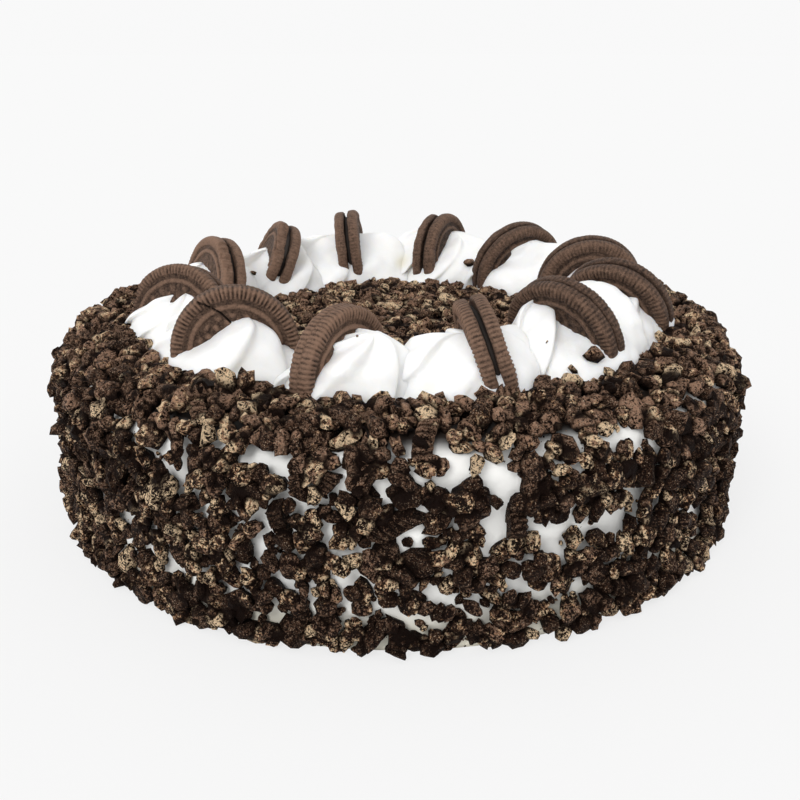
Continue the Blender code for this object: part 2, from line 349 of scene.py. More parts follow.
# The bar's section: seven corners as shares of half its width and half its thickness, and the share
# that each corner takes in the ridges
RIM_SECTION = np.array([
    (-1.0, -1.0, 0.0),
    (0.6, -1.0, 0.0),
    (1.0, -0.4, 0.6),
    (1.0, 0.35, 1.0),
    (0.6, 0.9, 1.0),
    (-0.3, 0.9, 1.0),
    (-1.0, 0.6, 0.0),
])
RIM_WAVE = np.where(np.arange(RIM_STEPS) % 2, 1.0, -1.0)[:, None] * RIM_SECTION[:, 2]


def rim_shapes(count, draw):
    """Each is a piece of a wafer's rim: a bent bar whose upper outer edge stands in ridges.

    The section's corners on that edge move out on every second step along the bar, and in on the
    steps between. Each bar is bent by the square of its length and skewed at random.
    """
    along = np.linspace(-1.0, 1.0, RIM_STEPS)
    across = RIM_SECTION[None, :, 0] * (1.0 + 0.06 * RIM_WAVE)
    height = RIM_SECTION[None, :, 1] * (1.0 + 0.22 * RIM_WAVE)
    bend = 0.25 * (along ** 2)[:, None]
    bar = np.stack(np.broadcast_arrays(along[:, None], across - bend, height), -1)
    bar = bar[None] * (1.0 + 0.03 * draw.normal(size=(count,) + bar.shape))
    skew = draw.uniform(-0.35, 0.35, (count, 1, 1))
    bar[..., 0] += skew * bar[..., 1] * np.abs(bar[..., 0])
    poles = np.stack([bar[:, 0].mean(1), bar[:, -1].mean(1)], 1)
    quads, lower, upper = closed_faces(RIM_STEPS, len(RIM_SECTION))
    faces = np.vstack([split_quads(quads), lower, upper])
    return np.concatenate([bar.reshape(count, -1, 3), poles], 1), faces[:, ::-1]


print("a piece of rim has", len(rim_shapes(1, np.random.default_rng(1))[1]), "faces")

# %% [markdown]
# ## Laying shapes on the cake
#
# A crumb lies on its flat side, so each shape is scaled, spun, tipped a little and set on its
# place. All the crumbs of a kind then join into one piece. Each crumb carries values of its own,
# such as how brown it is, for its material to read.


# %% Lay and join shapes
# No point of a crumb lies lower than this
LEAST_HEIGHT = 0.3 * MM


def lay_shapes(shapes, sizes, places, outward, draw, tilt, sink):
    """Scale, spin and tip each shape, stand it on its place, and lift what would pass the base.

    Sizes are the full length, width and thickness. Sink is the share of the thickness below the surface. The
    spin is about the outward direction, and the tip leans that direction over. The second result is how far
    each point stands out of the gaps between crumbs, from 0 to 1, which the material turns into painted shade
    in the gaps.
    """
    count = len(shapes)
    spin = draw.uniform(0.0, FULL_TURN, count)
    lean = outward + draw.normal(size=(count, 3)) * tilt
    lean /= np.linalg.norm(lean, axis=1, keepdims=True)
    helper = np.where(np.abs(lean[:, 2:3]) > 0.9, [[1.0, 0.0, 0.0]], [[0.0, 0.0, 1.0]])
    first = np.cross(helper, lean)
    first /= np.linalg.norm(first, axis=1, keepdims=True)
    second = np.cross(lean, first)
    along = np.cos(spin)[:, None] * first + np.sin(spin)[:, None] * second
    across = np.cross(lean, along)
    scaled = shapes * sizes[:, None, :] / 2.0
    turned = scaled[..., 0:1] * along[:, None] + scaled[..., 1:2] * across[:, None]
    turned = turned + scaled[..., 2:3] * lean[:, None]
    rise = sizes[:, 2] * (0.5 - sink)
    laid = turned + (places + outward * rise[:, None])[:, None]
    # How far a point stands out sets the painted shade in the gaps between crumbs
    clear_of_painted_shade = np.einsum("nvk,nk->nv", laid - places[:, None], outward) / sizes[:, 2:3]
    lift = np.maximum(LEAST_HEIGHT - laid[..., 2].min(1), 0.0)
    laid[..., 2] += lift[:, None]
    return laid, smooth_step(-0.05, 0.7, clear_of_painted_shade)


def crumb_values(draw, clear_of_painted_shade, least_tone=0.0, least_pale=0.0):
    """How brown and how pale each crumb is, at random up to 1, and how far its points stand out of the
    painted shade in the gaps.
    """
    tone = draw.uniform(least_tone, 1.0, len(clear_of_painted_shade))
    pale = draw.uniform(least_pale, 1.0, len(clear_of_painted_shade))
    return {"tone": tone, "pale": pale, "clear_of_painted_shade": clear_of_painted_shade}


def join_shapes(name, laid, faces, values, smooth):
    """Join many small shapes with the same faces into one piece on the cake.

    A value is given for each shape, or for each of its points.
    """
    count, corners = laid.shape[:2]
    all_faces = (faces[None] + (np.arange(count) * corners)[:, None, None]).reshape(-1, 3)
    piece = add_piece(name, laid.reshape(-1, 3), [all_faces], smooth)
    for value_name, value in values.items():
        set_values(piece, value_name, np.broadcast_to(value.reshape(count, -1), (count, corners)))
    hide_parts("cake")
    return piece


print("laying ready")

# %% [markdown]
# ## Where crumbs are missing
#
# The hand that pressed the crumbs on missed some spots, and white frosting shows there. Such a bare
# patch is an oval on the side, often long and slanting. Those at the front are placed as they are
# seen. The rest of the side, which nobody saw, gets patches of the same sizes at random.

# %% Bare patches
# Azimuth in degrees from the front towards +X, height, length and width in mm, and the slant in
# degrees of the patch's length above the level
BARE_PATCHES = (
    (-43.5, 22.5, 12.0, 4.5, -20.0),
    (-42.5, 29.5, 9.0, 5.0, -20.0),
    (-38.0, 60.5, 9.0, 3.5, -15.0),
    (-37.8, 22.0, 9.0, 4.5, -20.0),
    (-31.5, 55.0, 17.0, 5.0, -35.0),
    (-31.0, 18.5, 13.0, 4.0, -20.0),
    (-26.5, 44.0, 9.0, 6.0, -30.0),
    (-22.0, 45.5, 9.0, 4.5, -60.0),
    (-21.5, 26.0, 10.0, 5.0, -65.0),
    (-18.3, 34.0, 13.0, 5.0, 85.0),
    (-16.5, 61.0, 17.0, 4.5, -12.0),
    (-16.5, 10.0, 20.0, 5.5, -8.0),
    (-15.5, 25.0, 11.0, 5.5, -45.0),
    (-12.5, 52.0, 13.0, 5.0, -10.0),
    (-9.0, 41.0, 9.0, 3.5, -70.0),
    (-7.3, 56.5, 9.0, 4.5, 80.0),
    (-6.8, 27.0, 13.0, 4.0, 0.0),
    (-6.3, 17.0, 9.0, 4.0, 50.0),
    (-3.5, 39.0, 9.0, 3.5, 60.0),
    (-2.0, 55.0, 9.0, 4.0, -55.0),
    (-0.5, 15.0, 17.0, 6.5, -30.0),
    (2.5, 47.0, 14.0, 5.5, 85.0),
    (1.8, 38.5, 9.0, 4.5, 40.0),
    (3.5, 12.0, 15.0, 5.0, -8.0),
    (5.5, 21.0, 14.0, 5.5, -25.0),
    (7.0, 63.5, 11.0, 4.0, -30.0),
    (10.5, 12.0, 10.0, 4.0, 5.0),
    (11.0, 22.5, 7.0, 4.5, 40.0),
    (13.5, 56.0, 13.0, 8.5, -40.0),
    (12.5, 43.0, 17.0, 7.5, 75.0),
    (16.0, 23.0, 9.5, 7.5, -30.0),
    (19.5, 17.0, 11.0, 6.5, -10.0),
    (20.5, 35.0, 15.0, 5.5, -60.0),
    (22.5, 41.0, 10.0, 4.5, 25.0),
    (25.5, 15.5, 10.0, 5.5, -60.0),
    (26.0, 37.0, 11.0, 5.5, -60.0),
    (30.5, 37.0, 14.0, 8.5, -10.0),
    (32.0, 62.5, 14.0, 4.0, 8.0),
    (33.5, 46.0, 10.0, 6.0, -10.0),
    (34.5, 57.0, 8.0, 4.5, 80.0),
    (38.5, 38.0, 9.0, 5.0, 40.0),
    (43.0, 34.0, 8.0, 4.5, 60.0),
)
PATCHES_ELSEWHERE = 105
# The patches above reach as far round as this, in degrees
SEEN_AZIMUTH = 49.0


def all_patches():
    """The seen patches and random ones of the same sizes on the rest of the side."""
    draw = np.random.default_rng(21)
    seen = np.array(BARE_PATCHES)
    rest = seen[draw.integers(0, len(seen), PATCHES_ELSEWHERE)]
    rest[:, 0] = draw.uniform(SEEN_AZIMUTH, 360.0 - SEEN_AZIMUTH, PATCHES_ELSEWHERE)
    rest[:, 1] = draw.uniform(8.0, 58.0, PATCHES_ELSEWHERE)
    return np.vstack([seen, rest])


patches = all_patches()


def bareness(azimuth, height):
    """Depth inside the nearest bare patch: above 0 inside, below 0 outside, in metres.

    A patch is a line with a round border: its half width, less the distance to the line.
    """
    turn = (azimuth[:, None] - np.radians(patches[:, 0]) + math.pi) % FULL_TURN - math.pi
    level = turn * FROSTING_RADIUS
    above = height[:, None] - patches[:, 1] * MM
    slant = np.radians(patches[:, 4])
    half_width = patches[:, 3] * MM / 2.0
    half_line = patches[:, 2] * MM / 2.0 - half_width
    along = level * np.cos(slant) + above * np.sin(slant)
    across = above * np.cos(slant) - level * np.sin(slant)
    beyond = np.maximum(np.abs(along) - half_line, 0.0)
    return (half_width - np.hypot(beyond, across)).max(1)


print("bare patches:", len(patches))

# %% [markdown]
# ## Where the crumbs lie
#
# Crumbs stick wherever they land, but hardly ever on top of each other until the frosting is full.
# So the largest are placed first, and each takes the roomiest of a few random spots.

# %% Places for the crumbs
# How far a crumb may reach into a bare patch, its reach as a share of its length, and what each
# metre beyond that counts
OVERHANG = 1.8 * MM
REACH_SHARE = 0.36
OVERHANG_COST = 8.0
# How far an overlapping crumb is raised, as a share of the overlap and at most
STACK_SHARE = 0.75
STACK_LIMIT = 3.6 * MM


def walk_spots(count, draw, low, high):
    """Random spots between two distances along the outline, even over the surface."""
    walk = draw.uniform(low, high, count)
    azimuth = draw.uniform(0.0, FULL_TURN, count)
    radius, height, slope = outline(walk)
    outward = around(np.cos(slope), azimuth, np.sin(slope))
    return around(radius, azimuth, height), outward, bareness(azimuth, height)


def middle_spots(count, draw, low, high):
    """Random spots on the middle of the top, between two distances from the axis."""
    radius = np.sqrt(draw.uniform(low ** 2, high ** 2, count))
    azimuth = draw.uniform(0.0, FULL_TURN, count)
    outward = np.broadcast_to([0.0, 0.0, 1.0], (count, 3))
    return around(radius, azimuth, TOP_HEIGHT), outward, np.full(count, -1.0)


def spread(sizes, spots, draw, low, high, tries=10):
    """Give each crumb, largest first, the roomiest of a few random spots off the bare patches.

    The gap is the distance to the nearest crumb, less half of both sizes, and overlap is what it
    lacks to 0. The roomiest spot has the least overlap, with its reach into a bare patch, past a
    slight overhang, counted many times over. A crumb that overlaps a larger one lies on it, so it is
    raised by a share of the overlap.
    """
    count = len(sizes)
    order = np.argsort(-sizes)
    places = np.zeros((count, 3))
    outward = np.zeros((count, 3))
    raised = np.zeros(count)
    for rank, index in enumerate(order):
        spot, out, bare = spots(tries, draw, low, high)
        gap = np.linalg.norm(spot[:, None] - places[order[:rank]][None], axis=2)
        gap = gap - (sizes[order[:rank]] + sizes[index])[None] / 2.0
        overlap = np.maximum(-gap.min(1), 0.0) if rank else np.zeros(tries)
        beyond = np.maximum(bare + REACH_SHARE * sizes[index] - OVERHANG, 0.0)
        best = int(np.argmax(-overlap - OVERHANG_COST * beyond))
        places[index], outward[index] = spot[best], out[best]
        raised[index] = min(STACK_SHARE * overlap[best], STACK_LIMIT)
    return places + outward * raised[:, None], outward


print("a crumb may reach into a bare patch by", OVERHANG / MM, "mm")

# %% [markdown]
# ## Zones of the coat
#
# Side, shoulder and middle each get a number of crumbs that covers them. On the shoulder and in the
# middle a second layer is heaped on the first, and a rim of crumbs buries the foot of the cream.


# %% Zones of the coat
def crumb_lengths(count, draw):
    """Random lengths: an eighth are large, over half are middling, and the rest are small."""
    chance = draw.uniform(0.0, 1.0, count)
    small = draw.uniform(3.4 * MM, 6.0 * MM, count)
    middling = draw.uniform(6.0 * MM, 9.2 * MM, count)
    large = draw.uniform(9.2 * MM, 13.0 * MM, count)
    return np.where(chance < 0.33, small, np.where(chance < 0.88, middling, large))


# Name, spots, from where to where along the outline or from the axis, how many crumbs, and how far
# they lie above the surface
CRUMB_ZONES = (
    ("side", walk_spots, 0.5 * MM, SIDE_LENGTH, 1900, 0.0),
    ("shoulder", walk_spots, SIDE_LENGTH - 1.0 * MM, OUTLINE_LENGTH, 1150, 0.0),
    ("middle", middle_spots, 0.0, MIDDLE_RADIUS, 470, 0.0),
    ("side heap", walk_spots, 3.0 * MM, SIDE_LENGTH, 220, 2.0 * MM),
    ("shoulder heap", walk_spots, SIDE_LENGTH - 6.0 * MM, OUTLINE_LENGTH, 600, 1.8 * MM),
    ("middle heap", middle_spots, 0.0, MIDDLE_RADIUS - 3.0 * MM, 240, 2.0 * MM),
    ("bank rim", walk_spots, OUTLINE_LENGTH - 6.0 * MM, OUTLINE_LENGTH + 1.0 * MM, 120, 1.0 * MM),
)
draw = np.random.default_rng(5)
laid_places, laid_outward, laid_sizes = [], [], []
for zone, spots, low, high, number, rise in CRUMB_ZONES:
    lengths = crumb_lengths(number, draw)
    zone_places, zone_outward = spread(lengths, spots, draw, low, high)
    laid_places.append(zone_places + zone_outward * rise)
    laid_outward.append(zone_outward)
    laid_sizes.append(lengths)
    print(zone, "crumbs:", number)
crumb_places = np.vstack(laid_places)
crumb_outward = np.vstack(laid_outward)
crumb_sizes = np.concatenate(laid_sizes)

# %% [markdown]
# ## Painted shade in the gaps between crumbs
#
# Little light reaches the gaps between crumbs, so their shade is painted. Each point knows how close it lies
# to a neighbouring crumb, which its material turns into painted shade. Only the nearest neighbours of each
# crumb are compared, so the arrays stay small.


# %% How crowded each point is
NEIGHBOURS = 9


def nearest_neighbours(centres, chunk=500):
    """The numbers of the nearest other crumbs of each crumb, by the distance of their centres."""
    square = (centres ** 2).sum(1)
    found = []
    for first in range(0, len(centres), chunk):
        part = centres[first:first + chunk]
        distance = square[first:first + chunk, None] + square[None] - 2.0 * part @ centres.T
        nearest = np.argpartition(distance, NEIGHBOURS + 1, axis=1)[:, :NEIGHBOURS + 1]
        own = nearest == np.arange(first, first + len(part))[:, None]
        ranked = np.take_along_axis(nearest, np.argsort(own, axis=1, kind="stable"), axis=1)
        found.append(ranked[:, :NEIGHBOURS])
    return np.vstack(found)


def crowding(laid, neighbours, centres, radii):
    """How close each point lies to a neighbour: 1 on its ball or inside it, falling to 0 further out.

    The ball of a neighbour has its centre and its mean radius, and closeness is a smooth step of
    the distance to its centre over that radius.
    """
    away = np.linalg.norm(laid[:, :, None] - centres[neighbours][:, None], axis=3)
    share = away / radii[neighbours][:, None]
    return 1.0 - smooth_step(0.95, 1.5, share.min(2))


print("neighbours compared:", NEIGHBOURS)

# %% [markdown]
# ## The kinds of crumb
#
# Most crumbs are lumps, darker or browner. About one in six is mottled with pale dried filling, about
# one in five is a flat shard, and a few large ones are pieces of ridged rim. The kind is drawn at
# random for each crumb, but for a few that catch the eye at the front.

# %% Kinds of crumb
# Name, shape, range of width and of thickness as shares of the length, and tilt
CRUMB_KINDS = (
    ("crumbs_dark", lump_shapes, (0.6, 0.95), (0.55, 0.85), 0.5),
    ("crumbs_brown", lump_shapes, (0.55, 0.9), (0.5, 0.75), 0.4),
    ("crumbs_mottled", lump_shapes, (0.55, 0.9), (0.5, 0.8), 0.5),
    ("crumbs_shards", shard_shapes, (0.6, 0.95), (0.35, 0.55), 0.38),
    ("crumbs_rims", rim_shapes, (0.42, 0.55), (0.35, 0.45), 0.3),
)
# The share of the crumbs that is of each kind, but for the rims, which replace every third of the
# crumbs that come after the very largest
KIND_SHARES = (0.34, 0.27, 0.17, 0.22)
RIM_PIECES = 110
LARGEST_KEPT = 20
# Crumbs that catch the eye at the front: azimuth in degrees, distance from the axis, height and
# length in mm, and the number of the kind
SEEN_CRUMBS = (
    (-4.0, 129.0, 63.0, 11.0, 4),
    (-9.0, 131.0, 57.0, 9.0, 4),
    (-13.0, 131.0, 57.4, 9.5, 4),
    (-0.7, 131.7, 45.4, 14.0, 4),
    (-20.6, 131.7, 32.3, 9.5, 4),
    (-46.5, 131.7, 32.8, 11.0, 4),
    (-29.5, 110.0, 75.5, 10.5, 2),
    (-26.0, 109.5, 75.5, 10.0, 0),
    (-33.0, 113.0, 73.0, 11.0, 2),
    (24.5, 110.0, 75.0, 11.0, 4),
    (5.5, 113.0, 73.5, 9.5, 2),
    (-1.5, 113.0, 73.0, 10.0, 0),
)

limits = np.cumsum(KIND_SHARES)[:-1]
kind_of = np.digitize(draw.uniform(0.0, 1.0, len(crumb_sizes)), limits)
by_size = np.argsort(-crumb_sizes)
kind_of[by_size[LARGEST_KEPT:LARGEST_KEPT + 3 * RIM_PIECES:3]] = len(CRUMB_KINDS) - 1
for azimuth, radius, height, length, kind in SEEN_CRUMBS:
    spot = around(radius * MM, math.radians(azimuth), height * MM)
    nearest = int(np.argmin(np.linalg.norm(crumb_places - spot, axis=1)))
    crumb_places[nearest] = spot
    crumb_sizes[nearest] = length * MM
    kind_of[nearest] = kind
print("crumbs of each kind:", np.bincount(kind_of).tolist())

# %% [markdown]
# ## The coat of crumbs
#
# Each kind of crumb is laid as one array, with lengths a little over those that were spread out, so
# that neighbours touch. Its centres and mean radii are kept, because the dark gaps depend on
# neighbours of every kind.

# %% Lay each kind
LENGTH_FACTOR = 1.05
THICKEST = 8.0 * MM
# The share of a crumb's thickness that is pressed into the frosting
COAT_SINK = 0.22

centres = np.zeros((len(crumb_sizes), 3))
radii = np.zeros(len(crumb_sizes))
kinds_laid = []
for number, (kind, shape, width, thick, tilt) in enumerate(CRUMB_KINDS):
    chosen = kind_of == number
    count = int(chosen.sum())
    shapes, faces = shape(count, draw)
    length = crumb_sizes[chosen] * LENGTH_FACTOR
    sizes = np.stack([length, length * draw.uniform(*width, count), length * draw.uniform(*thick, count)], 1)
    sizes[:, 2] = np.minimum(sizes[:, 2], THICKEST)
    places, outward = crumb_places[chosen], crumb_outward[chosen]
    laid, clear_of_painted_shade = lay_shapes(shapes, sizes, places, outward, draw, tilt, COAT_SINK)
    centres[chosen] = laid.mean(1)
    radii[chosen] = np.linalg.norm(laid - laid.mean(1)[:, None], axis=2).mean(1)
    kinds_laid.append((kind, chosen, laid, faces, clear_of_painted_shade))
    print(kind, "mean radius in mm:", round(float(radii[chosen].mean()) / MM, 2))

# %% [markdown]
# ## Joining the crumbs
#
# Each kind is joined into one piece, which stores how far every point stands out of the gaps, for the painted
# shade in them. A piece of rim stores its ridges and grooves instead, for painted shade in its grooves. The
# middle of the top is a little browner and paler.

# %% Join each kind
# Crumbs in the middle are at least this brown and this pale
MIDDLE_LEAST = 0.2
RIM_CLEAR_OF_PAINTED_SHADE = np.append(0.55 + 0.45 * RIM_WAVE.ravel(), [0.5, 0.5])

neighbours = nearest_neighbours(centres)
crumb_pieces = []
for kind, chosen, laid, faces, clear_of_painted_shade in kinds_laid:
    # Painted shade: each point stores how clear it is of the shade in the gaps between crumbs, and a piece of
    # rim of the shade in its grooves
    if kind == "crumbs_rims":
        clear_of_painted_shade = np.maximum(clear_of_painted_shade, 0.7) * RIM_CLEAR_OF_PAINTED_SHADE
    else:
        clear_of_painted_shade = np.minimum(clear_of_painted_shade, 1.0 - crowding(laid, neighbours[chosen], centres, radii))
    values = crumb_values(draw, clear_of_painted_shade)
    in_middle = np.linalg.norm(centres[chosen][:, :2], axis=1) < MIDDLE_RADIUS
    for name in ("tone", "pale"):
        raised = MIDDLE_LEAST + (1.0 - MIDDLE_LEAST) * values[name]
        values[name] = np.where(in_middle, raised, values[name])
    crumb_pieces.append(join_shapes(kind, laid, faces, values, False))
    print(kind, len(laid), "crumbs,", len(crumb_pieces[-1].data.polygons), "faces")

# %% [markdown]
# ## Fine crumbs
#
# Fine bits of 1 to 3 mm fill the gaps and dust the frosting. They have the fewest faces, because
# each is only a few pixels wide. Few of them lie in the bare patches.

# %% Fine crumbs
# Spots, from where to where along the outline or from the axis, and how many
FINE_ZONES = (
    (walk_spots, 0.0, SIDE_LENGTH, 2000),
    (walk_spots, SIDE_LENGTH, OUTLINE_LENGTH, 900),
    (middle_spots, 0.0, MIDDLE_RADIUS + 3.0 * MM, 700),
)
# The share of the fine crumbs that is missing from bare patches, and how far around them
FINE_MISSING = 0.93
MISSING_BORDER = 0.3 * MM
# Their least length and how much longer they can be
FINE_LEAST = 0.8 * MM
FINE_RANGE = 2.2 * MM
FINE_TILT = 0.6
FINE_SINK = 0.2

fine_places, fine_outward = [], []
for spots, low, high, number in FINE_ZONES:
    spot, out, bare = spots(number, draw, low, high)
    kept = draw.uniform(0.0, 1.0, number) > FINE_MISSING * (bare > -MISSING_BORDER)
    fine_places.append(spot[kept])
    fine_outward.append(out[kept])
fine_places = np.vstack(fine_places)
fine_outward = np.vstack(fine_outward)
fine_count = len(fine_places)
shapes, faces = lump_shapes(fine_count, draw, subdivisions=1, roughness=0.15)
length = FINE_LEAST + FINE_RANGE * draw.uniform(0.0, 1.0, fine_count) ** 1.5
sizes = length[:, None] * draw.uniform(0.6, 1.0, (fine_count, 3))
laid, clear_of_painted_shade = lay_shapes(shapes, sizes, fine_places, fine_outward, draw, FINE_TILT, FINE_SINK)
fine_crumbs = join_shapes("crumbs_fine", laid, faces, crumb_values(draw, clear_of_painted_shade), True)
print("fine crumbs:", fine_count)

# %% [markdown]
# ## Piped cream
#
# Each portion of cream was pressed out of a star nozzle that was turned as it rose, so broad folds
# run up it slantwise and end in soft bumps. The mound is an oval dome, wider along the ring, so that
# neighbours run into each other. The folds are lobes with a sharp crease between them. Each lobe
# leans over the next, which gives its lower edge a crisp lip.

# %% Piped cream
# How high a portion stands, its half width across the ring and along it, how deep, lifted, leaning
# and twisted its folds are, and how deep its foot lies in the frosting
CREAM_HEIGHT = 24.0 * MM
CREAM_REACH = 24.0 * MM
CREAM_SPREAD = 29.5 * MM
FOLD_DEPTH = 3.7 * MM
FOLD_LIFT = 3.9 * MM
FOLD_LEAN = 0.24
FOLD_TWIST = math.radians(60.0)
CREAM_SINK = 1.5 * MM
# In order round the ring from the back: how high and how long each portion is beside the usual
# one, how far its top leans along the ring and towards the axis, in mm, how far it is turned
# round the ring, in degrees, and how steadily its flanks narrow
PORTION_HEIGHTS = (0.92, 0.86, 0.84, 0.94, 1.0, 1.0, 1.01, 1.17, 1.03, 1.0, 1.0, 0.98)
PORTION_LENGTHS = (1.2, 1.1, 1.0, 1.0, 1.1, 0.85, 1.0, 1.2, 1.1, 1.0, 1.0, 1.0)
PORTION_LEANS = (4.0, -6.0, -8.0, -1.0, -1.0, 8.5, -1.0, 6.0, 6.0, 2.0, -2.0, 1.0)
PORTION_INWARD = (-2.0, -4.0, -4.0, 0.5, 1.5, -1.0, 0.0, 11.0, -6.0, 1.0, 0.0, -1.0)
PORTION_TURNS = (0.0, 0.0, 0.0, 0.0, 1.0, 4.5, 1.0, 2.0, 3.0, 0.0, 0.0, 0.0)
PORTION_SLOPES = (0.45, 0.45, 0.45, 0.45, 0.45, 0.9, 0.45, 0.28, 0.45, 0.45, 0.45, 0.45)


def cream_surface(index, rows=90, columns=240):
    """A lobed dome: its width shrinks with height h, from 0 to 1, as (1 - h^2)^0.75.

    Along the ring, that width is raised to the portion's own power, which makes its flanks fuller.
    Fold is a cosine of the lobe angle, from 0 between lobes to 1 on their crests, raised to a power
    that makes a crease at the foot and a soft valley higher up. It moves the surface out, lifts it
    near the top, and turns the crest on round the mound, so that one flank of each fold is steep.
    """
    draw = np.random.default_rng(300 + index)
    phases = draw.uniform(0.0, FULL_TURN, 6)
    lobes = 6 + index % 2
    size, length = PORTION_HEIGHTS[index], PORTION_LENGTHS[index]
    share = 1.0 - (1.0 - np.linspace(0.0, 1.0, rows)[:, None]) ** 1.6
    angle = np.arange(columns)[None] * FULL_TURN / columns
    width = (1.0 - share ** 2.0) ** 0.75 * (0.94 + 0.06 * smooth_step(0.0, 0.15, share))
    wander = 0.55 * np.sin(2.0 * angle + phases[0]) + 0.5 * np.sin(4.0 * share + phases[1])
    wander = wander + 0.45 * np.sin(3.0 * angle + 5.0 * share + phases[2])
    fold = (0.5 + 0.5 * np.cos(lobes * angle + wander)) ** (0.5 + 0.6 * smooth_step(0.05, 0.55, share))
    strength = 1.0 + 0.4 * np.sin(2.0 * angle + phases[3]) + 0.3 * np.sin(3.0 * angle + phases[4])
    turned = angle + FOLD_TWIST * share ** 0.9 + FOLD_LEAN * strength * (fold - 0.5)
    push = FOLD_DEPTH * strength * (fold - 0.6) * (1.0 - 0.75 * smooth_step(0.1, 0.75, share))
    push = push * (1.0 - share ** 5.0)
    lift = FOLD_LIFT * strength * (fold - 0.5) * smooth_step(0.35, 0.8, share) * (1.0 - share ** 8.0)
    reach = CREAM_REACH * length ** 0.5 * width + push
    spread_out = CREAM_SPREAD * length * width ** PORTION_SLOPES[index] + push
    across = reach * np.cos(turned)
    along = spread_out * np.sin(turned)
    height = TOP_HEIGHT - CREAM_SINK + (CREAM_HEIGHT * size + CREAM_SINK) * share + lift
    azimuth = FULL_TURN * (index + 0.5) / PORTIONS - math.pi + math.radians(PORTION_TURNS[index])
    outward = around(1.0, azimuth, 0.0)
    sideways = around(1.0, azimuth + math.pi / 2.0, 0.0)
    along = along + PORTION_LEANS[index] * MM * share ** 2.0
    across = across + draw.uniform(-3.0, 3.0) * MM * share ** 4.0 - PORTION_INWARD[index] * MM * share ** 3.0
    points = outward * (RING_RADIUS + across)[..., None] + sideways * along[..., None]
    points[..., 2] = height
    soft = 1.3 * MM * ripple(points, 26.0 * MM, 40 + index)
    soft = soft + 0.22 * MM * ripple(points, 8.0 * MM, 60 + index)
    away = outward * np.cos(turned)[..., None] + sideways * np.sin(turned)[..., None]
    away = away + np.array([0.0, 0.0, 0.6])
    return points + away * (soft * smooth_step(0.0, 0.2, share))[..., None]


def pipe_cream(index):
    """Make one portion at its place in the ring."""
    points = cream_surface(index)
    poles = np.array([points[0].mean(0), points[-1].mean(0)])
    cream = add_closed_surface(f"cream_{index + 1:02d}", points, poles)
    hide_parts(f"rosette_{index + 1:02d}")
    return cream


creams = [pipe_cream(index) for index in range(PORTIONS)]
print("cream faces:", [len(cream.data.polygons) for cream in creams])

# %% [markdown]
# ## Stains and crumbs on the cream
#
# A few crumbs have fallen on the cream, and it is stained yellowish in some hollows. To rest a
# crumb, the highest point of the cream near its place is looked up.

# %% Crumbs on the cream
# Azimuth in degrees, distance from the axis, then length, width and thickness in mm
FALLEN_CRUMBS = (
    (38.5, 103.5, 8.6, 6.4, 5.6),
    (41.5, 109.0, 4.2, 3.0, 2.6),
    (-8.0, 92.0, 1.1, 0.9, 0.9),
    (31.0, 95.0, 2.2, 0.5, 0.5),
    (33.0, 104.0, 5.0, 2.4, 2.2),
    (-59.0, 106.0, 2.0, 1.5, 1.4),
    (152.0, 71.0, 6.0, 4.5, 4.0),
    (-120.0, 74.0, 3.0, 2.2, 2.0),
    (98.0, 99.0, 2.4, 1.8, 1.6),
)
# Azimuth in degrees, distance from the axis and height of the middle in mm, then reach in mm
STAINS = (
    (-33.5, 97.0, 77.0, 3.0),
    (4.5, 104.0, 80.0, 2.2),
    (178.0, 74.0, 76.0, 3.0),
    (-141.0, 73.0, 77.0, 2.6),
)

POINTS_BELOW = 16
FALLEN_TILT = 0.3
FALLEN_SINK = 0.3

cream_points = np.concatenate([mesh_points(cream.data) for cream in creams])


def rest_on_cream(azimuth, radius):
    """A place on the cream: the highest of the few points nearest to it, seen from above."""
    target = around(radius, azimuth, 0.0)
    nearest = np.argsort(np.linalg.norm(cream_points[:, :2] - target[:2], axis=1))[:POINTS_BELOW]
    return np.array([target[0], target[1], cream_points[nearest, 2].max()])


def mark_stains(cream):
    """Store how stained each point is: 1 in the middle of a stain, fading like a bell."""
    points = mesh_points(cream.data)
    stain = np.zeros(len(points))
    for azimuth, radius, height, reach in STAINS:
        middle = around(radius * MM, math.radians(azimuth), height * MM)
        distance = np.linalg.norm(points - middle, axis=1)
        stain = np.maximum(stain, np.exp(-0.5 * (distance / (reach * MM)) ** 2))
    set_values(cream, "stain", stain)


for cream in creams:
    mark_stains(cream)
fallen = np.array(FALLEN_CRUMBS)
places = np.array([rest_on_cream(math.radians(row[0]), row[1] * MM) for row in fallen])
upright = np.broadcast_to([0.0, 0.0, 1.0], places.shape)
shapes, faces = lump_shapes(len(fallen), draw)
laid, clear_of_painted_shade = lay_shapes(shapes, fallen[:, 2:] * MM, places, upright, draw, FALLEN_TILT, FALLEN_SINK)
fallen_crumbs = join_shapes("crumbs_fallen", laid, faces, crumb_values(draw, clear_of_painted_shade, 0.4, 0.2), True)
print("crumbs on the cream:", len(fallen))

# %% [markdown]
# ## Sandwich biscuits
#
# A wafer is a pressed disc. Its face has a border of fine radial ridges that run over its rounded
# edge, a groove, a raised ring and a field with low beads. It is one turned profile, whose border
# rows are cut by grooves at nearly even angles.

# %% The wafer's profile
RIDGES = 84
GROOVE_DEPTH = 0.7 * MM
SCALLOP_DEPTH = 0.19 * MM
BEAD_HEIGHT = 0.5 * MM
FIELD_HEIGHT = 4.85 * MM
BEADS_ROUND = 16.0
BEAD_SPACING = 2.6 * MM
UNEVENNESS = 0.12 * MM
DIP_PALE = 0.3
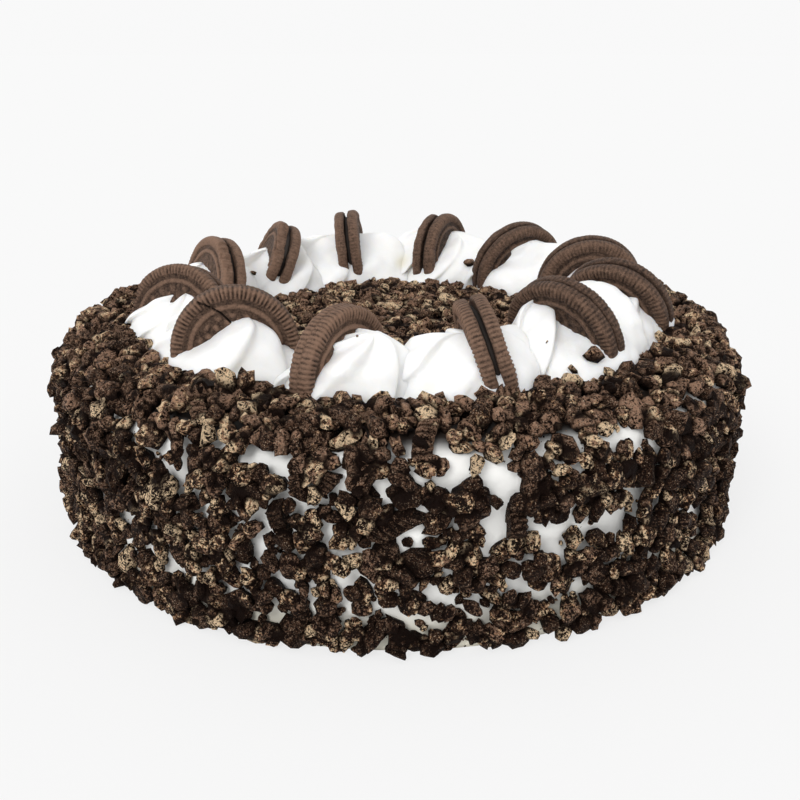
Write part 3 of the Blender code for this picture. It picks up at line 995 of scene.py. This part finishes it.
# Distance from the axis and height above the middle of the biscuit, in mm, then the share of the grooves and
# of the scallops there, and how pale the dough is: paler where raised parts are rubbed, and darker as painted
# shade in the grooves and low parts
WAFER_PROFILE = (
    (19.00, 1.00, 0.0, 0.0, 0.3),
    (21.30, 0.80, 0.0, 0.0, 0.3),
    (21.90, 1.00, 0.0, 0.4, 0.5),
    (22.15, 1.50, 0.0, 0.8, 0.6),
    (22.25, 2.30, 0.0, 1.0, 0.7),
    (22.25, 3.20, 0.05, 1.0, 0.7),
    (22.15, 3.90, 0.15, 1.0, 0.75),
    (21.90, 4.50, 0.3, 0.9, 0.85),
    (21.50, 5.00, 0.45, 0.6, 0.9),
    (21.00, 5.35, 0.65, 0.3, 0.9),
    (20.40, 5.55, 0.9, 0.0, 0.85),
    (19.60, 5.60, 1.0, 0.0, 0.8),
    (18.80, 5.55, 1.0, 0.0, 0.75),
    (18.30, 5.40, 0.8, 0.0, 0.7),
    (18.00, 5.10, 0.2, 0.0, 0.4),
    (17.60, 4.85, 0.0, 0.0, 0.3),
    (16.60, 4.85, 0.0, 0.0, 0.3),
    (16.25, 5.15, 0.0, 0.0, 0.6),
    (15.90, 5.35, 0.0, 0.0, 0.75),
    (15.20, 5.40, 0.0, 0.0, 0.75),
    (14.80, 5.20, 0.0, 0.0, 0.55),
    (14.50, 4.90, 0.0, 0.0, 0.3),
)


def wafer_surface(draw, samples, field_rows, relief):
    """Turn the wafer's profile, cut its grooves, raise its beads, and leave it slightly uneven.

    A groove takes the share (1/2 - cos/2)^1.3 of its depth, which makes ridges broad and grooves
    narrow. Slow waves move the grooves a little and change their depth. A bead's height is the
    product of a cosine round the axis and a cosine outwards, kept above 0 and raised to the power
    0.6, so the beads are blunt and stand in staggered rings.
    """
    field = np.zeros((field_rows, 5))
    field[:, 0] = np.linspace(14.1, 0.8, field_rows)
    field[:, 1] = FIELD_HEIGHT / MM
    field[:, 4] = DIP_PALE
    profile = np.vstack([WAFER_PROFILE, field])
    columns = RIDGES * samples
    angle = np.arange(columns)[None] * FULL_TURN / columns
    radius, height = profile[:, 0:1] * MM, profile[:, 1:2] * MM
    phases = draw.uniform(0.0, FULL_TURN, 3)
    wander = 0.5 * np.sin(7.0 * angle + phases[0]) + 0.4 * np.sin(17.0 * angle + phases[1])
    groove = (0.5 - 0.5 * np.cos(RIDGES * angle + wander)) ** 1.3
    groove = relief * groove * (0.85 + 0.15 * np.sin(31.0 * angle + phases[2]))
    inside = smooth_step(13.8 * MM, 12.8 * MM, radius) * smooth_step(1.5 * MM, 3.0 * MM, radius)
    beads = np.cos(BEADS_ROUND * angle) * np.cos(math.pi * radius / BEAD_SPACING)
    beads = np.maximum(beads, 0.0) ** 0.6 * relief
    radius = radius - SCALLOP_DEPTH * profile[:, 3:4] * groove
    height = height - GROOVE_DEPTH * profile[:, 2:3] * groove + BEAD_HEIGHT * inside * beads
    points = np.stack(np.broadcast_arrays(radius * np.cos(angle), radius * np.sin(angle), height), -1)
    # Paler where rubbed, with painted shade darkening the dough in the grooves
    cut = np.maximum(profile[:, 2:3], 0.8 * profile[:, 3:4])
    rubbed_and_painted_shade = profile[:, 4:5] * (1.0 - 0.95 * cut * groove) + 0.45 * inside * beads
    uneven = ripple(points, 6.0 * MM, int(draw.integers(1e6)))
    points = points + np.array([0.0, 0.0, UNEVENNESS]) * uneven[..., None]
    return points, rubbed_and_painted_shade


print("profile rows:", len(WAFER_PROFILE))

# %% [markdown]
# ## Where each biscuit stands
#
# The solid model already has the wafers in their places. The middles of a biscuit's two solid wafers
# give its centre and its axis, and the other two directions follow from them.


# %% Places of the biscuits
def biscuit_frame(index):
    """The centre and three directions of a biscuit, read from its two solid wafers."""
    label = f"biscuit_{index + 1:02d}"
    middles = []
    for letter in ("a", "b"):
        corners = mesh_points(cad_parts[f"{label}_wafer_{letter}"].data)
        middles.append(np.unique(corners.round(6), axis=0).mean(0))
    centre = (middles[0] + middles[1]) / 2.0
    axis = middles[0] - middles[1]
    axis /= np.linalg.norm(axis)
    level = np.cross(axis, [0.0, 0.0, 1.0])
    level /= np.linalg.norm(level)
    return centre, level, np.cross(level, axis), axis


centres_out = [np.hypot(*biscuit_frame(index)[0][:2]) / MM for index in range(PORTIONS)]
print("biscuits' distances from the axis in mm:", np.round(centres_out, 1).tolist())

# %% [markdown]
# ## Broken and cracked wafers
#
# Some biscuits have lost a bit of their rim, and one has a crack across its face. A break is a cut along a
# ragged line: what lies beyond the line is pulled back to it. A crack is a narrow groove along a jagged line,
# with painted shade in it.

# %% Breaks and the crack
# Biscuit number, side, the direction of the break from the level towards the top in degrees, and
# the distance of its line from the centre in mm
BREAKS = (
    (4, 1, 12.0, 19.0),
    (4, -1, -5.0, 20.0),
    (2, 1, 128.0, 18.6),
    (2, -1, 25.0, 19.0),
    (1, 1, 60.0, 19.4),
    (12, 1, 66.0, 19.6),
    (3, 1, 130.0, 20.4),
)
BREAK_RAGGED = 0.35 * MM
CRACKED_BISCUIT = (5, 1)
CRACK_HALF_WIDTH = 0.42 * MM
CRACK_DEPTH = 1.3 * MM
# The places that the crack's line passes, along the level and upward from the centre, in mm
CRACK_LINE = ((11.6, 17.4), (8.9, 16.2), (4.6, 13.8), (1.4, 10.4), (-1.8, 9.0), (-4.2, 6.4), (-8.0, 5.2))


def cut_breaks(local, index, side):
    """Pull back what lies beyond each break's line, which a fine ripple makes ragged."""
    for number, broken_side, direction, reach in BREAKS:
        if (number, broken_side) == (index + 1, side):
            angle = math.radians(direction)
            towards = np.array([math.cos(angle), math.sin(angle), 0.0])
            beyond = local @ towards - reach * MM - BREAK_RAGGED * ripple(local, 3.0 * MM, number)
            local = local - towards * np.maximum(beyond, 0.0)[..., None]
    return local


def cut_crack(local, rubbed_and_painted_shade):
    """Lower the face near the crack's line, most on the line itself, and paint shade into it there."""
    place = local[..., :2]
    distance = np.full(place.shape[:-1], 1.0)
    line = np.array(CRACK_LINE) * MM
    for start, end in zip(line[:-1], line[1:]):
        step = end - start
        share = np.clip(((place - start) @ step) / (step @ step), 0.0, 1.0)
        nearest = start + share[..., None] * step
        distance = np.minimum(distance, np.linalg.norm(place - nearest, axis=-1))
    inside = np.maximum(1.0 - distance / CRACK_HALF_WIDTH, 0.0) * (local[..., 2] > 3.0 * MM)
    local = local - np.array([0.0, 0.0, CRACK_DEPTH]) * inside[..., None]
    # Painted shade in the crack
    return local, rubbed_and_painted_shade * (1.0 - np.minimum(inside * 3.0, 1.0))


print("breaks:", len(BREAKS))

# %% [markdown]
# ## Baking the wafers
#
# No two biscuits are alike. Some were pressed together until their wafers almost touch, some were
# baked darker, and on some the relief is fainter. Each wafer is turned at random about its axis and
# set in its place.

# %% Bake the wafers
# How far each wafer of a biscuit is pressed towards the other, in mm, by the biscuit's number
PRESSED = {5: 0.8, 6: 1.2, 8: 0.6, 11: 0.3}
# How pale each biscuit is baked and how deep its relief is, in order round the ring from the back
BAKED_PALE = (0.75, 0.93, 1.08, 0.8, 0.87, 1.2, 1.0, 0.6, 0.6, 0.64, 0.56, 0.68)
RELIEF = (0.35, 0.35, 0.35, 0.7, 0.95, 1.0, 1.0, 0.9, 0.75, 0.5, 0.35, 0.35)


def bake_wafer(index, side):
    """Make one wafer in its place: side +1 faces along the biscuit's axis, and -1 against it.

    The cracked wafer has a finer grid than the others, because its crack is narrow.
    """
    draw = np.random.default_rng(700 + 2 * index + (side > 0))
    centre, level, upward, axis = biscuit_frame(index)
    cracked = (index + 1, side) == CRACKED_BISCUIT
    samples, field_rows = (8, 60) if cracked else (4, 13)
    local, rubbed_and_painted_shade = wafer_surface(draw, samples, field_rows, RELIEF[index])
    turn = draw.uniform(0.0, FULL_TURN)
    across = local[..., 0] * math.cos(turn) - local[..., 1] * math.sin(turn)
    rise = local[..., 0] * math.sin(turn) + local[..., 1] * math.cos(turn)
    local = np.stack([across, rise * side, local[..., 2]], -1)
    local = cut_breaks(local, index, side)
    if cracked:
        local, rubbed_and_painted_shade = cut_crack(local, rubbed_and_painted_shade)
    centre = centre - PRESSED.get(index + 1, 0.0) * MM * side * axis
    points = centre + local[..., 0:1] * level + local[..., 1:2] * upward + local[..., 2:3] * axis * side
    poles = np.array([centre + 1.0 * MM * side * axis, centre + FIELD_HEIGHT * side * axis])
    letter = "a" if side > 0 else "b"
    wafer = add_closed_surface(f"wafer_{index + 1:02d}_{letter}", points, poles)
    # Rubbed wear and painted shade in the grooves, times how pale the biscuit is baked
    set_values(wafer, "rubbed_and_painted_shade", np.append(rubbed_and_painted_shade.ravel(), [DIP_PALE, DIP_PALE]) * BAKED_PALE[index])
    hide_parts(f"biscuit_{index + 1:02d}_wafer_{letter}")
    return wafer


wafers = [bake_wafer(index, side) for index in range(PORTIONS) for side in (1, -1)]
print("wafers:", len(wafers), "with", len(wafers[0].data.polygons), "faces each, and more in the cracked one")

# %% [markdown]
# ## Filling
#
# Between the wafers sits the filling, set back from their rims. Its colour is painted nearly black, as the
# shade of the groove. It is a disc whose edge bulges a little and is not quite round.

# %% Filling
# Distance from the biscuit's axis and height above its middle, in mm
FILLING_PROFILE = ((18.6, -1.2), (19.3, -0.7), (19.5, 0.0), (19.3, 0.7), (18.6, 1.2))
FILLING_HALF = 1.2 * MM


def spread_filling(index, columns=96):
    """A turned disc between the wafers, whose edge moves in and out by a product of two waves."""
    centre, level, upward, axis = biscuit_frame(index)
    profile = np.array(FILLING_PROFILE) * MM
    angle = np.arange(columns)[None] * FULL_TURN / columns
    radius = profile[:, 0:1] + 0.35 * MM * np.sin(3.0 * angle + index) * np.sin(5.0 * angle + 2.0 * index)
    across, rise = radius * np.cos(angle), radius * np.sin(angle)
    points = centre + across[..., None] * level + rise[..., None] * upward
    points = points + profile[:, 1][:, None, None] * axis
    poles = np.array([centre - FILLING_HALF * axis, centre + FILLING_HALF * axis])
    filling = add_closed_surface(f"filling_{index + 1:02d}", points, poles)
    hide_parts(f"biscuit_{index + 1:02d}_filling")
    return filling


fillings = [spread_filling(index) for index in range(PORTIONS)]
print("fillings:", len(fillings))

# %% [markdown]
# ## Materials
#
# A few short helpers keep the materials easy to read. Most add one node, set it, link what feeds
# it, and give back the socket that the next one needs.


# %% Node helpers
def new_material(name):
    """A material with an empty node tree but for its shader, which is returned too."""
    material = bpy.data.materials.new(name)
    material.use_nodes = True
    tree = material.node_tree
    return material, tree, tree.nodes["Principled BSDF"]


def feed(tree, socket, value):
    """Link a socket to an input, or set the input to a number or a colour."""
    if isinstance(value, bpy.types.NodeSocket):
        tree.links.new(value, socket)
    elif socket.type == "RGBA":
        socket.default_value = (*value, 1.0)
    else:
        socket.default_value = value


def blend(tree, share, first, second):
    """Mix two colours by a share and return the colour socket."""
    node = tree.nodes.new("ShaderNodeMix")
    node.data_type = "RGBA"
    for socket, value in ((node.inputs[0], share), (node.inputs[6], first), (node.inputs[7], second)):
        feed(tree, socket, value)
    return node.outputs[2]


def ramp(tree, value, low, high):
    """Rise from 0 to 1 between two values, softly, and return the value socket."""
    node = tree.nodes.new("ShaderNodeMapRange")
    node.interpolation_type = "SMOOTHSTEP"
    for name, number in (("Value", value), ("From Min", low), ("From Max", high)):
        feed(tree, node.inputs[name], number)
    return node.outputs["Result"]


def maths(tree, operation, first, second):
    """One sum on two values, either of which may be a socket."""
    node = tree.nodes.new("ShaderNodeMath")
    node.operation = operation
    for socket, value in zip(node.inputs, (first, second)):
        feed(tree, socket, value)
    return node.outputs[0]


def weighted_sum(tree, *terms):
    """Add up values, each times its weight: pairs of a socket and a number."""
    total = 0.0
    for value, weight in terms:
        node = tree.nodes.new("ShaderNodeMath")
        node.operation = "MULTIPLY_ADD"
        for socket, number in zip(node.inputs, (value, weight, total)):
            feed(tree, socket, number)
        total = node.outputs[0]
    return total


def stored(tree, name):
    """Read a value that the mesh stores in each point."""
    node = tree.nodes.new("ShaderNodeAttribute")
    node.attribute_name = name
    return node.outputs["Fac"]


def object_place(tree):
    """The place of the shaded point, in the object's own coordinates."""
    return tree.nodes.new("ShaderNodeTexCoord").outputs["Object"]


def object_height(tree):
    """The height of the shaded point, in the object's own coordinates."""
    split = tree.nodes.new("ShaderNodeSeparateXYZ")
    feed(tree, split.inputs["Vector"], object_place(tree))
    return split.outputs["Z"]


def noise(tree, place, scale, detail=2.0, roughness=0.5):
    """A noise value at a number of features to the metre."""
    node = tree.nodes.new("ShaderNodeTexNoise")
    for name, value in (("Vector", place), ("Scale", scale), ("Detail", detail), ("Roughness", roughness)):
        feed(tree, node.inputs[name], value)
    return node.outputs["Fac"]


def raise_bump(tree, height, distance):
    """A bump of a given height in metres, and return its normal."""
    bump = tree.nodes.new("ShaderNodeBump")
    feed(tree, bump.inputs["Distance"], distance)
    feed(tree, bump.inputs["Height"], height)
    return bump.outputs["Normal"]


print("node helpers ready")

# %% [markdown]
# ## The grain of baked dough
#
# Crumbs and wafers are the same baked dough, so they share one node group for its grain: a porous height for
# the bump and for painted shade in the crumbs' hollows, a mottle and single grains for the tone, specks for
# dried filling, and flecks for painted glints. The group has named inputs and outputs, and each material
# places it with its own values.


# %% The grain group
GRAIN_OUTPUTS = ("Height", "Mottle", "Speck", "Painted glint", "Grain")


def make_grain_group():
    """Group: height, mottle, specks, painted glints and single grains of baked biscuit, at a grain size.

    The grains are cells whose places are first moved about by noise, which makes them ragged.
    """
    group = bpy.data.node_groups.new("baked_grain", "ShaderNodeTree")
    group.interface.new_socket("Place", in_out="INPUT", socket_type="NodeSocketVector")
    group.interface.new_socket("Grains per metre", in_out="INPUT", socket_type="NodeSocketFloat")
    for name in GRAIN_OUTPUTS:
        group.interface.new_socket(name, in_out="OUTPUT", socket_type="NodeSocketFloat")
    into = group.nodes.new("NodeGroupInput")
    out = group.nodes.new("NodeGroupOutput")
    place, scale = into.outputs["Place"], into.outputs["Grains per metre"]
    wander = noise(group, place, scale, 1.0).node.outputs["Color"]
    moved = group.nodes.new("ShaderNodeVectorMath")
    moved.operation = "MULTIPLY_ADD"
    for socket, value in zip(moved.inputs, (wander, maths(group, "DIVIDE", 2.0, scale), place)):
        group.links.new(value, socket)
    cells = group.nodes.new("ShaderNodeTexVoronoi")
    group.links.new(moved.outputs[0], cells.inputs["Vector"])
    group.links.new(scale, cells.inputs["Scale"])
    single = group.nodes.new("ShaderNodeSeparateColor")
    group.links.new(cells.outputs["Color"], single.inputs[0])
    grains = ramp(group, cells.outputs["Distance"], 0.75, 0.15)
    rough = noise(group, place, maths(group, "MULTIPLY", scale, 0.8), 4.0, 0.68)
    height = weighted_sum(group, (grains, 0.22), (rough, 1.0))
    mottle = noise(group, place, maths(group, "MULTIPLY", scale, 0.25), 4.0, 0.65)
    speck = noise(group, place, maths(group, "MULTIPLY", scale, 0.28), 4.0, 0.6)
    # Painted glints of light on the grains
    painted_glint = noise(group, place, maths(group, "MULTIPLY", scale, 1.5), 1.0)
    for name, value in zip(GRAIN_OUTPUTS, (height, mottle, speck, painted_glint, single.outputs[0])):
        group.links.new(value, out.inputs[name])
    return group


grain_group = make_grain_group()


def place_grain(tree, scale):
    """Place the grain group in a material, on Object coordinates, and return its outputs."""
    node = tree.nodes.new("ShaderNodeGroup")
    node.node_tree = grain_group
    feed(tree, node.inputs["Place"], object_place(tree))
    feed(tree, node.inputs["Grains per metre"], scale)
    return node.outputs


print("node groups:", [group.name for group in bpy.data.node_groups])

# %% [markdown]
# ## The finish of the crumbs
#
# Broken biscuit is brown on its grains, with painted shade nearly black in its pores and in the gaps between
# crumbs. Some crumbs carry pale filling, rubbed in as tan and cream specks. The stored values make each crumb
# a little different.

# %% Crumb materials
# Near black painted shade, for the pores and the gaps between crumbs
PAINTED_SHADE = (0.0090, 0.0034, 0.0018)
DARK_DOUGH = (0.056, 0.0275, 0.0160)
BROWN_DOUGH = (0.425, 0.252, 0.165)
TAN_FILLING = (0.540, 0.272, 0.130)
PALE_FILLING = (0.970, 0.720, 0.460)
# The colour of painted glints of light on the grains
PAINTED_GLINT = (0.560, 0.420, 0.300)
# Heights between which the dough turns darker
LOW_FROM = 74.0 * MM
LOW_TO = 53.0 * MM
# From where to where the dough turns brown by its tone, painted glints show by their noise, painted shade in
# the pores closes by how firm the dough is, and painted shade in the gaps clears by how far a point stands
# out
BROWN_TONES = (1.20, 2.24)
PAINTED_GLINT_LEVELS = (0.60, 0.72)
FIRM_LEVELS = (0.84, 1.02)
GAP_LEVELS = (-0.04, 0.72)


def crumb_finish(name, tone_shift, pale_low, pale_high, roughness, grains=1500.0):
    """Painted shade in pores and gaps, brown grains, and specks of filling where the speck noise passes a
    level.

    The tone adds up the crumb's own tone, the mottle, the single grains and the grain's height, whose low
    places are painted shade, less a part low on the side, where the colour turns darker. Painted shade fills
    the pores where the grain's height and mottle add up to little, and the gaps between crumbs where a point
    stands out little.
    """
    material, tree, shader = new_material(name)
    grain = place_grain(tree, grains)
    low = ramp(tree, object_height(tree), LOW_FROM, LOW_TO)
    own_tone = (stored(tree, "tone"), 0.75)
    # The grain's height in the tone paints shade into the grain's hollows
    baked = ((grain["Mottle"], 1.0), (grain["Grain"], 0.5), (grain["Height"], 1.0))
    tone = weighted_sum(tree, own_tone, *baked, (low, -0.42))
    brown_low, brown_high = (level - tone_shift for level in BROWN_TONES)
    dough = blend(tree, ramp(tree, tone, brown_low, brown_high), DARK_DOUGH, BROWN_DOUGH)
    level = weighted_sum(tree, (grain["Speck"], 1.0), (stored(tree, "pale"), 0.34))
    filling = blend(tree, ramp(tree, level, pale_low + 0.02, pale_high + 0.05), TAN_FILLING, PALE_FILLING)
    solid = blend(tree, ramp(tree, level, pale_low, pale_high), dough, filling)
    # Painted glints of light on the grains
    with_painted_glints = blend(tree, ramp(tree, grain["Painted glint"], *PAINTED_GLINT_LEVELS), solid, PAINTED_GLINT)
    firm = weighted_sum(tree, (grain["Height"], 1.0), (grain["Mottle"], 0.8), (low, -0.07))
    # Painted shade in the pores
    with_painted_pore_shade = blend(tree, ramp(tree, firm, *FIRM_LEVELS), PAINTED_SHADE, with_painted_glints)
    # Painted shade in the gaps between crumbs and in the grooves of rim pieces
    colour = blend(tree, ramp(tree, stored(tree, "clear_of_painted_shade"), *GAP_LEVELS), PAINTED_SHADE, with_painted_pore_shade)
    feed(tree, shader.inputs["Base Color"], colour)
    feed(tree, shader.inputs["Normal"], raise_bump(tree, grain["Height"], 1.8 * MM))
    shader.inputs["Roughness"].default_value = roughness
    shader.inputs["Specular IOR Level"].default_value = 0.08
    return material


# Name, tone shift, from where to where the filling turns pale, roughness, and grains per metre
crumb_finishes = (
    crumb_finish("dark_crumb_finish", -0.08, 0.77, 0.84, 0.6),
    crumb_finish("brown_crumb_finish", 0.20, 0.69, 0.76, 0.65),
    crumb_finish("mottled_crumb_finish", 0.22, 0.56, 0.64, 0.6),
    crumb_finish("shard_finish", 0.00, 0.80, 0.88, 0.7, 1800.0),
    crumb_finish("rim_finish", 0.15, 0.92, 1.00, 0.65, 2200.0),
)
for piece, finish in zip(crumb_pieces, crumb_finishes):
    piece.data.materials.append(finish)
fine_crumbs.data.materials.append(crumb_finishes[1])
fallen_crumbs.data.materials.append(crumb_finishes[1])
print("crumb finishes:", [finish.name for finish in crumb_finishes])

# %% [markdown]
# ## Frosting and cream
#
# Frosting is a dull white with faint knife marks, and painted dark with shade under the heaped crumbs. Cream
# is as white, but satin, and lets a little light in.

# %% Frosting and cream materials
FROSTING_WHITE = (0.97, 0.965, 0.935)
# Painted warm reflected light on the frosting near its foot
PAINTED_WARM_BOUNCE = (0.88, 0.84, 0.71)
STRAY_SPECK = (0.10, 0.055, 0.035)
PAINTED_SHADE_UNDER_CRUMBS = (0.016, 0.010, 0.007)
CREAM_WHITE = (0.93, 0.93, 0.92)
CREAM_SHADE = (0.92, 0.92, 0.90)
CREAM_STAIN = (0.72, 0.64, 0.40)


def frosting_finish():
    """White frosting with painted warm reflected light at its foot, and painted shade where it is stored."""
    material, tree, shader = new_material("frosting_finish")
    place = object_place(tree)
    # Painted warm reflected light, strongest at the foot
    painted_warm_share = ramp(tree, object_height(tree), 20.0 * MM, 4.0 * MM)
    white = blend(tree, painted_warm_share, FROSTING_WHITE, PAINTED_WARM_BOUNCE)
    specks = ramp(tree, noise(tree, place, 500.0, 1.0), 0.76, 0.79)
    dusted = blend(tree, specks, white, STRAY_SPECK)
    # Painted shade on the frosting under heaped crumbs
    colour = blend(tree, stored(tree, "painted_shade_under_crumbs"), dusted, PAINTED_SHADE_UNDER_CRUMBS)
    feed(tree, shader.inputs["Base Color"], colour)
    feed(tree, shader.inputs["Normal"], raise_bump(tree, noise(tree, place, 260.0, 3.0), 0.5 * MM))
    shader.inputs["Roughness"].default_value = 0.5
    return material


def cream_finish():
    """Satin white cream, a little pitted, yellowish where stained, scattering under its skin."""
    material, tree, shader = new_material("cream_finish")
    place = object_place(tree)
    white = blend(tree, ramp(tree, noise(tree, place, 60.0), 0.35, 0.75), CREAM_WHITE, CREAM_SHADE)
    stain = maths(tree, "MULTIPLY", stored(tree, "stain"), 0.6)
    feed(tree, shader.inputs["Base Color"], blend(tree, stain, white, CREAM_STAIN))
    pits = weighted_sum(tree, (noise(tree, place, 130.0, 1.0), 1.5), (noise(tree, place, 420.0, 3.0), 1.0))
    feed(tree, shader.inputs["Normal"], raise_bump(tree, pits, 0.2 * MM))
    shader.inputs["Roughness"].default_value = 0.42
    shader.inputs["Subsurface Weight"].default_value = 0.5
    shader.inputs["Subsurface Radius"].default_value = (1.0, 0.9, 0.75)
    shader.inputs["Subsurface Scale"].default_value = 4.0 * MM
    return material


frosting.data.materials.append(frosting_finish())
print("frosting dressed")

# %% [markdown]
# ## Wafers and filling
#
# Wafers share the crumbs' grain, finer, and are rubbed pale on their ridges, with painted shade in their
# grooves. The filling between them is painted nearly black, as the shade of the groove. Cream, wafers and
# filling are then given their finishes, all in one loop.

# %% Wafer and filling materials
WAFER_DARK = (0.0118, 0.0070, 0.0052)
WAFER_PALE = (0.260, 0.157, 0.107)
# The filling's colour is the painted shade of the groove, nearly black
FILLING_PAINTED_SHADE_DARK = (0.008, 0.005, 0.004)
FILLING_PAINTED_SHADE_PALE = (0.022, 0.013, 0.008)


def wafer_finish():
    """Dry pressed chocolate dough, darker with painted shade in the grooves and paler where it is rubbed."""
    material, tree, shader = new_material("wafer_finish")
    grain = place_grain(tree, 2100.0)
    # Rubbed wear and painted shade in the grooves
    rubbed_and_painted_shade = (stored(tree, "rubbed_and_painted_shade"), 0.80)
    shade = weighted_sum(tree, (grain["Mottle"], 0.55), (grain["Grain"], 0.22), rubbed_and_painted_shade)
    colour = blend(tree, ramp(tree, shade, 0.30, 1.20), WAFER_DARK, WAFER_PALE)
    feed(tree, shader.inputs["Base Color"], colour)
    feed(tree, shader.inputs["Normal"], raise_bump(tree, grain["Height"], 0.5 * MM))
    shader.inputs["Roughness"].default_value = 0.6
    shader.inputs["Specular IOR Level"].default_value = 0.15
    return material


def filling_painted_shade_finish():
    """Filling painted nearly black, as the shade of the groove, with the same grain, coarser."""
    material, tree, shader = new_material("filling_painted_shade_finish")
    grain = place_grain(tree, 1300.0)
    colour = blend(tree, grain["Mottle"], FILLING_PAINTED_SHADE_DARK, FILLING_PAINTED_SHADE_PALE)
    feed(tree, shader.inputs["Base Color"], colour)
    feed(tree, shader.inputs["Normal"], raise_bump(tree, grain["Height"], 0.2 * MM))
    shader.inputs["Roughness"].default_value = 0.8
    return material


DRESSED = (
    (creams, cream_finish(), "whipped_cream"),
    (wafers, wafer_finish(), "chocolate_wafer"),
    (fillings, filling_painted_shade_finish(), "biscuit_filling"),
)
for group, finish, slot in DRESSED:
    for piece in group:
        piece.data.materials.append(finish)
print("materials:", sorted(material.name for material in bpy.data.materials))

# %% [markdown]
# ## Camera
#
# The camera looks down at the cake from close by, as the photograph does. Its place, pitch and lens
# were found by fitting outlines, above all those of the twelve biscuits. The focal length is counted
# in pixels of a picture 800 pixels wide, and the lens follows from it.

# %% Camera
CAMERA_PLACE = (0.0, -382.5 * MM, 179.8 * MM)
CAMERA_PITCH = math.radians(20.9)
CAMERA_YAW = math.radians(0.14)
FOCAL_PIXELS = 960.6
PICTURE_PIXELS = 800.0
SENSOR = 36.0

camera_data = bpy.data.cameras.new("camera")
camera_data.sensor_width = SENSOR
camera_data.lens = FOCAL_PIXELS * SENSOR / PICTURE_PIXELS
camera_data.clip_start = 10.0 * MM
camera_data.clip_end = 50.0
camera = bpy.data.objects.new("camera", camera_data)
bpy.context.scene.collection.objects.link(camera)
camera.location = CAMERA_PLACE
camera.rotation_euler = (math.pi / 2.0 - CAMERA_PITCH, 0.0, -CAMERA_YAW)
bpy.context.scene.camera = camera
print("lens in mm:", round(camera_data.lens, 2))

# %% [markdown]
# ## Light
#
# A product picture has a white surround, a little overexposed. So the camera sees a brighter
# surround than the light it gives, which leaves soft shade between the crumbs and in the folds of
# the cream. A wide lamp from the upper left front gives the rest.

# %% Surround and lamp
BACKDROP = 0.945
SURROUND_LIGHT = 0.84
LAMP_STRENGTH = 1.4
LAMP_SPREAD = math.radians(26.0)
LAMP_ELEVATION = math.radians(38.0)
LAMP_AZIMUTH = math.radians(-28.0)

world = bpy.data.worlds.new("white_surround")
world.use_nodes = True
world_tree = world.node_tree
seen_by_camera = world_tree.nodes.new("ShaderNodeLightPath").outputs["Is Camera Ray"]
strength = ramp(world_tree, seen_by_camera, 0.0, 1.0).node
strength.inputs["To Min"].default_value = SURROUND_LIGHT
strength.inputs["To Max"].default_value = BACKDROP
background = world_tree.nodes["Background"]
background.inputs["Color"].default_value = (1.0, 1.0, 1.0, 1.0)
world_tree.links.new(strength.outputs["Result"], background.inputs["Strength"])
bpy.context.scene.world = world

lamp_data = bpy.data.lights.new("soft_lamp", "SUN")
lamp_data.energy = LAMP_STRENGTH
lamp_data.angle = LAMP_SPREAD
lamp = bpy.data.objects.new("soft_lamp", lamp_data)
lamp.rotation_euler = (math.pi / 2.0 - LAMP_ELEVATION, 0.0, LAMP_AZIMUTH)
bpy.context.scene.collection.objects.link(lamp)
print("lamp and surround ready")

# %% [markdown]
# ## Floor
#
# The floor is as white as the surround, so its edge can't be seen. To the camera it is mostly a
# glow, which softens its shade, and to the light that falls on it, it is white and sends that light
# back up.

# %% Floor
FLOOR_RADIUS = 9.0
FLOOR_CORNERS = 96
FLOOR_WHITE = 0.18
FLOOR_GLOW = 0.747
FLOOR_BOUNCE = 0.95

floor_edge = around(FLOOR_RADIUS, np.arange(FLOOR_CORNERS) * FULL_TURN / FLOOR_CORNERS, 0.0)
floor_faces = fan_faces(0, FLOOR_CORNERS, FLOOR_CORNERS, True)
floor = add_piece("floor", np.vstack([floor_edge, np.zeros((1, 3))]), [floor_faces])
floor_material, floor_tree, floor_shader = new_material("floor_finish")
seen = floor_tree.nodes.new("ShaderNodeLightPath").outputs["Is Camera Ray"]
floor_colour = blend(floor_tree, seen, (FLOOR_BOUNCE,) * 3, (FLOOR_WHITE,) * 3)
feed(floor_tree, floor_shader.inputs["Base Color"], floor_colour)
feed(floor_tree, floor_shader.inputs["Emission Color"], (1.0, 1.0, 1.0))
feed(floor_tree, floor_shader.inputs["Emission Strength"], maths(floor_tree, "MULTIPLY", seen, FLOOR_GLOW))
floor_shader.inputs["Roughness"].default_value = 0.9
floor_shader.inputs["Specular IOR Level"].default_value = 0.0
floor.data.materials.append(floor_material)
floor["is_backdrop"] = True
bpy.context.scene.view_settings.view_transform = "Standard"
print("floor ready")

# %% [markdown]
# ## Finish
#
# Nothing on a cake moves on its own, so every piece rides on the one body.

# %% Ride and finish
for piece in [frosting, fine_crumbs, fallen_crumbs] + crumb_pieces + creams + wafers + fillings:
    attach(piece, "root")
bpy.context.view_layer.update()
triangles = sum(len(piece.data.loops) - 2 * len(piece.data.polygons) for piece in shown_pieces())
print("triangles shown:", triangles)
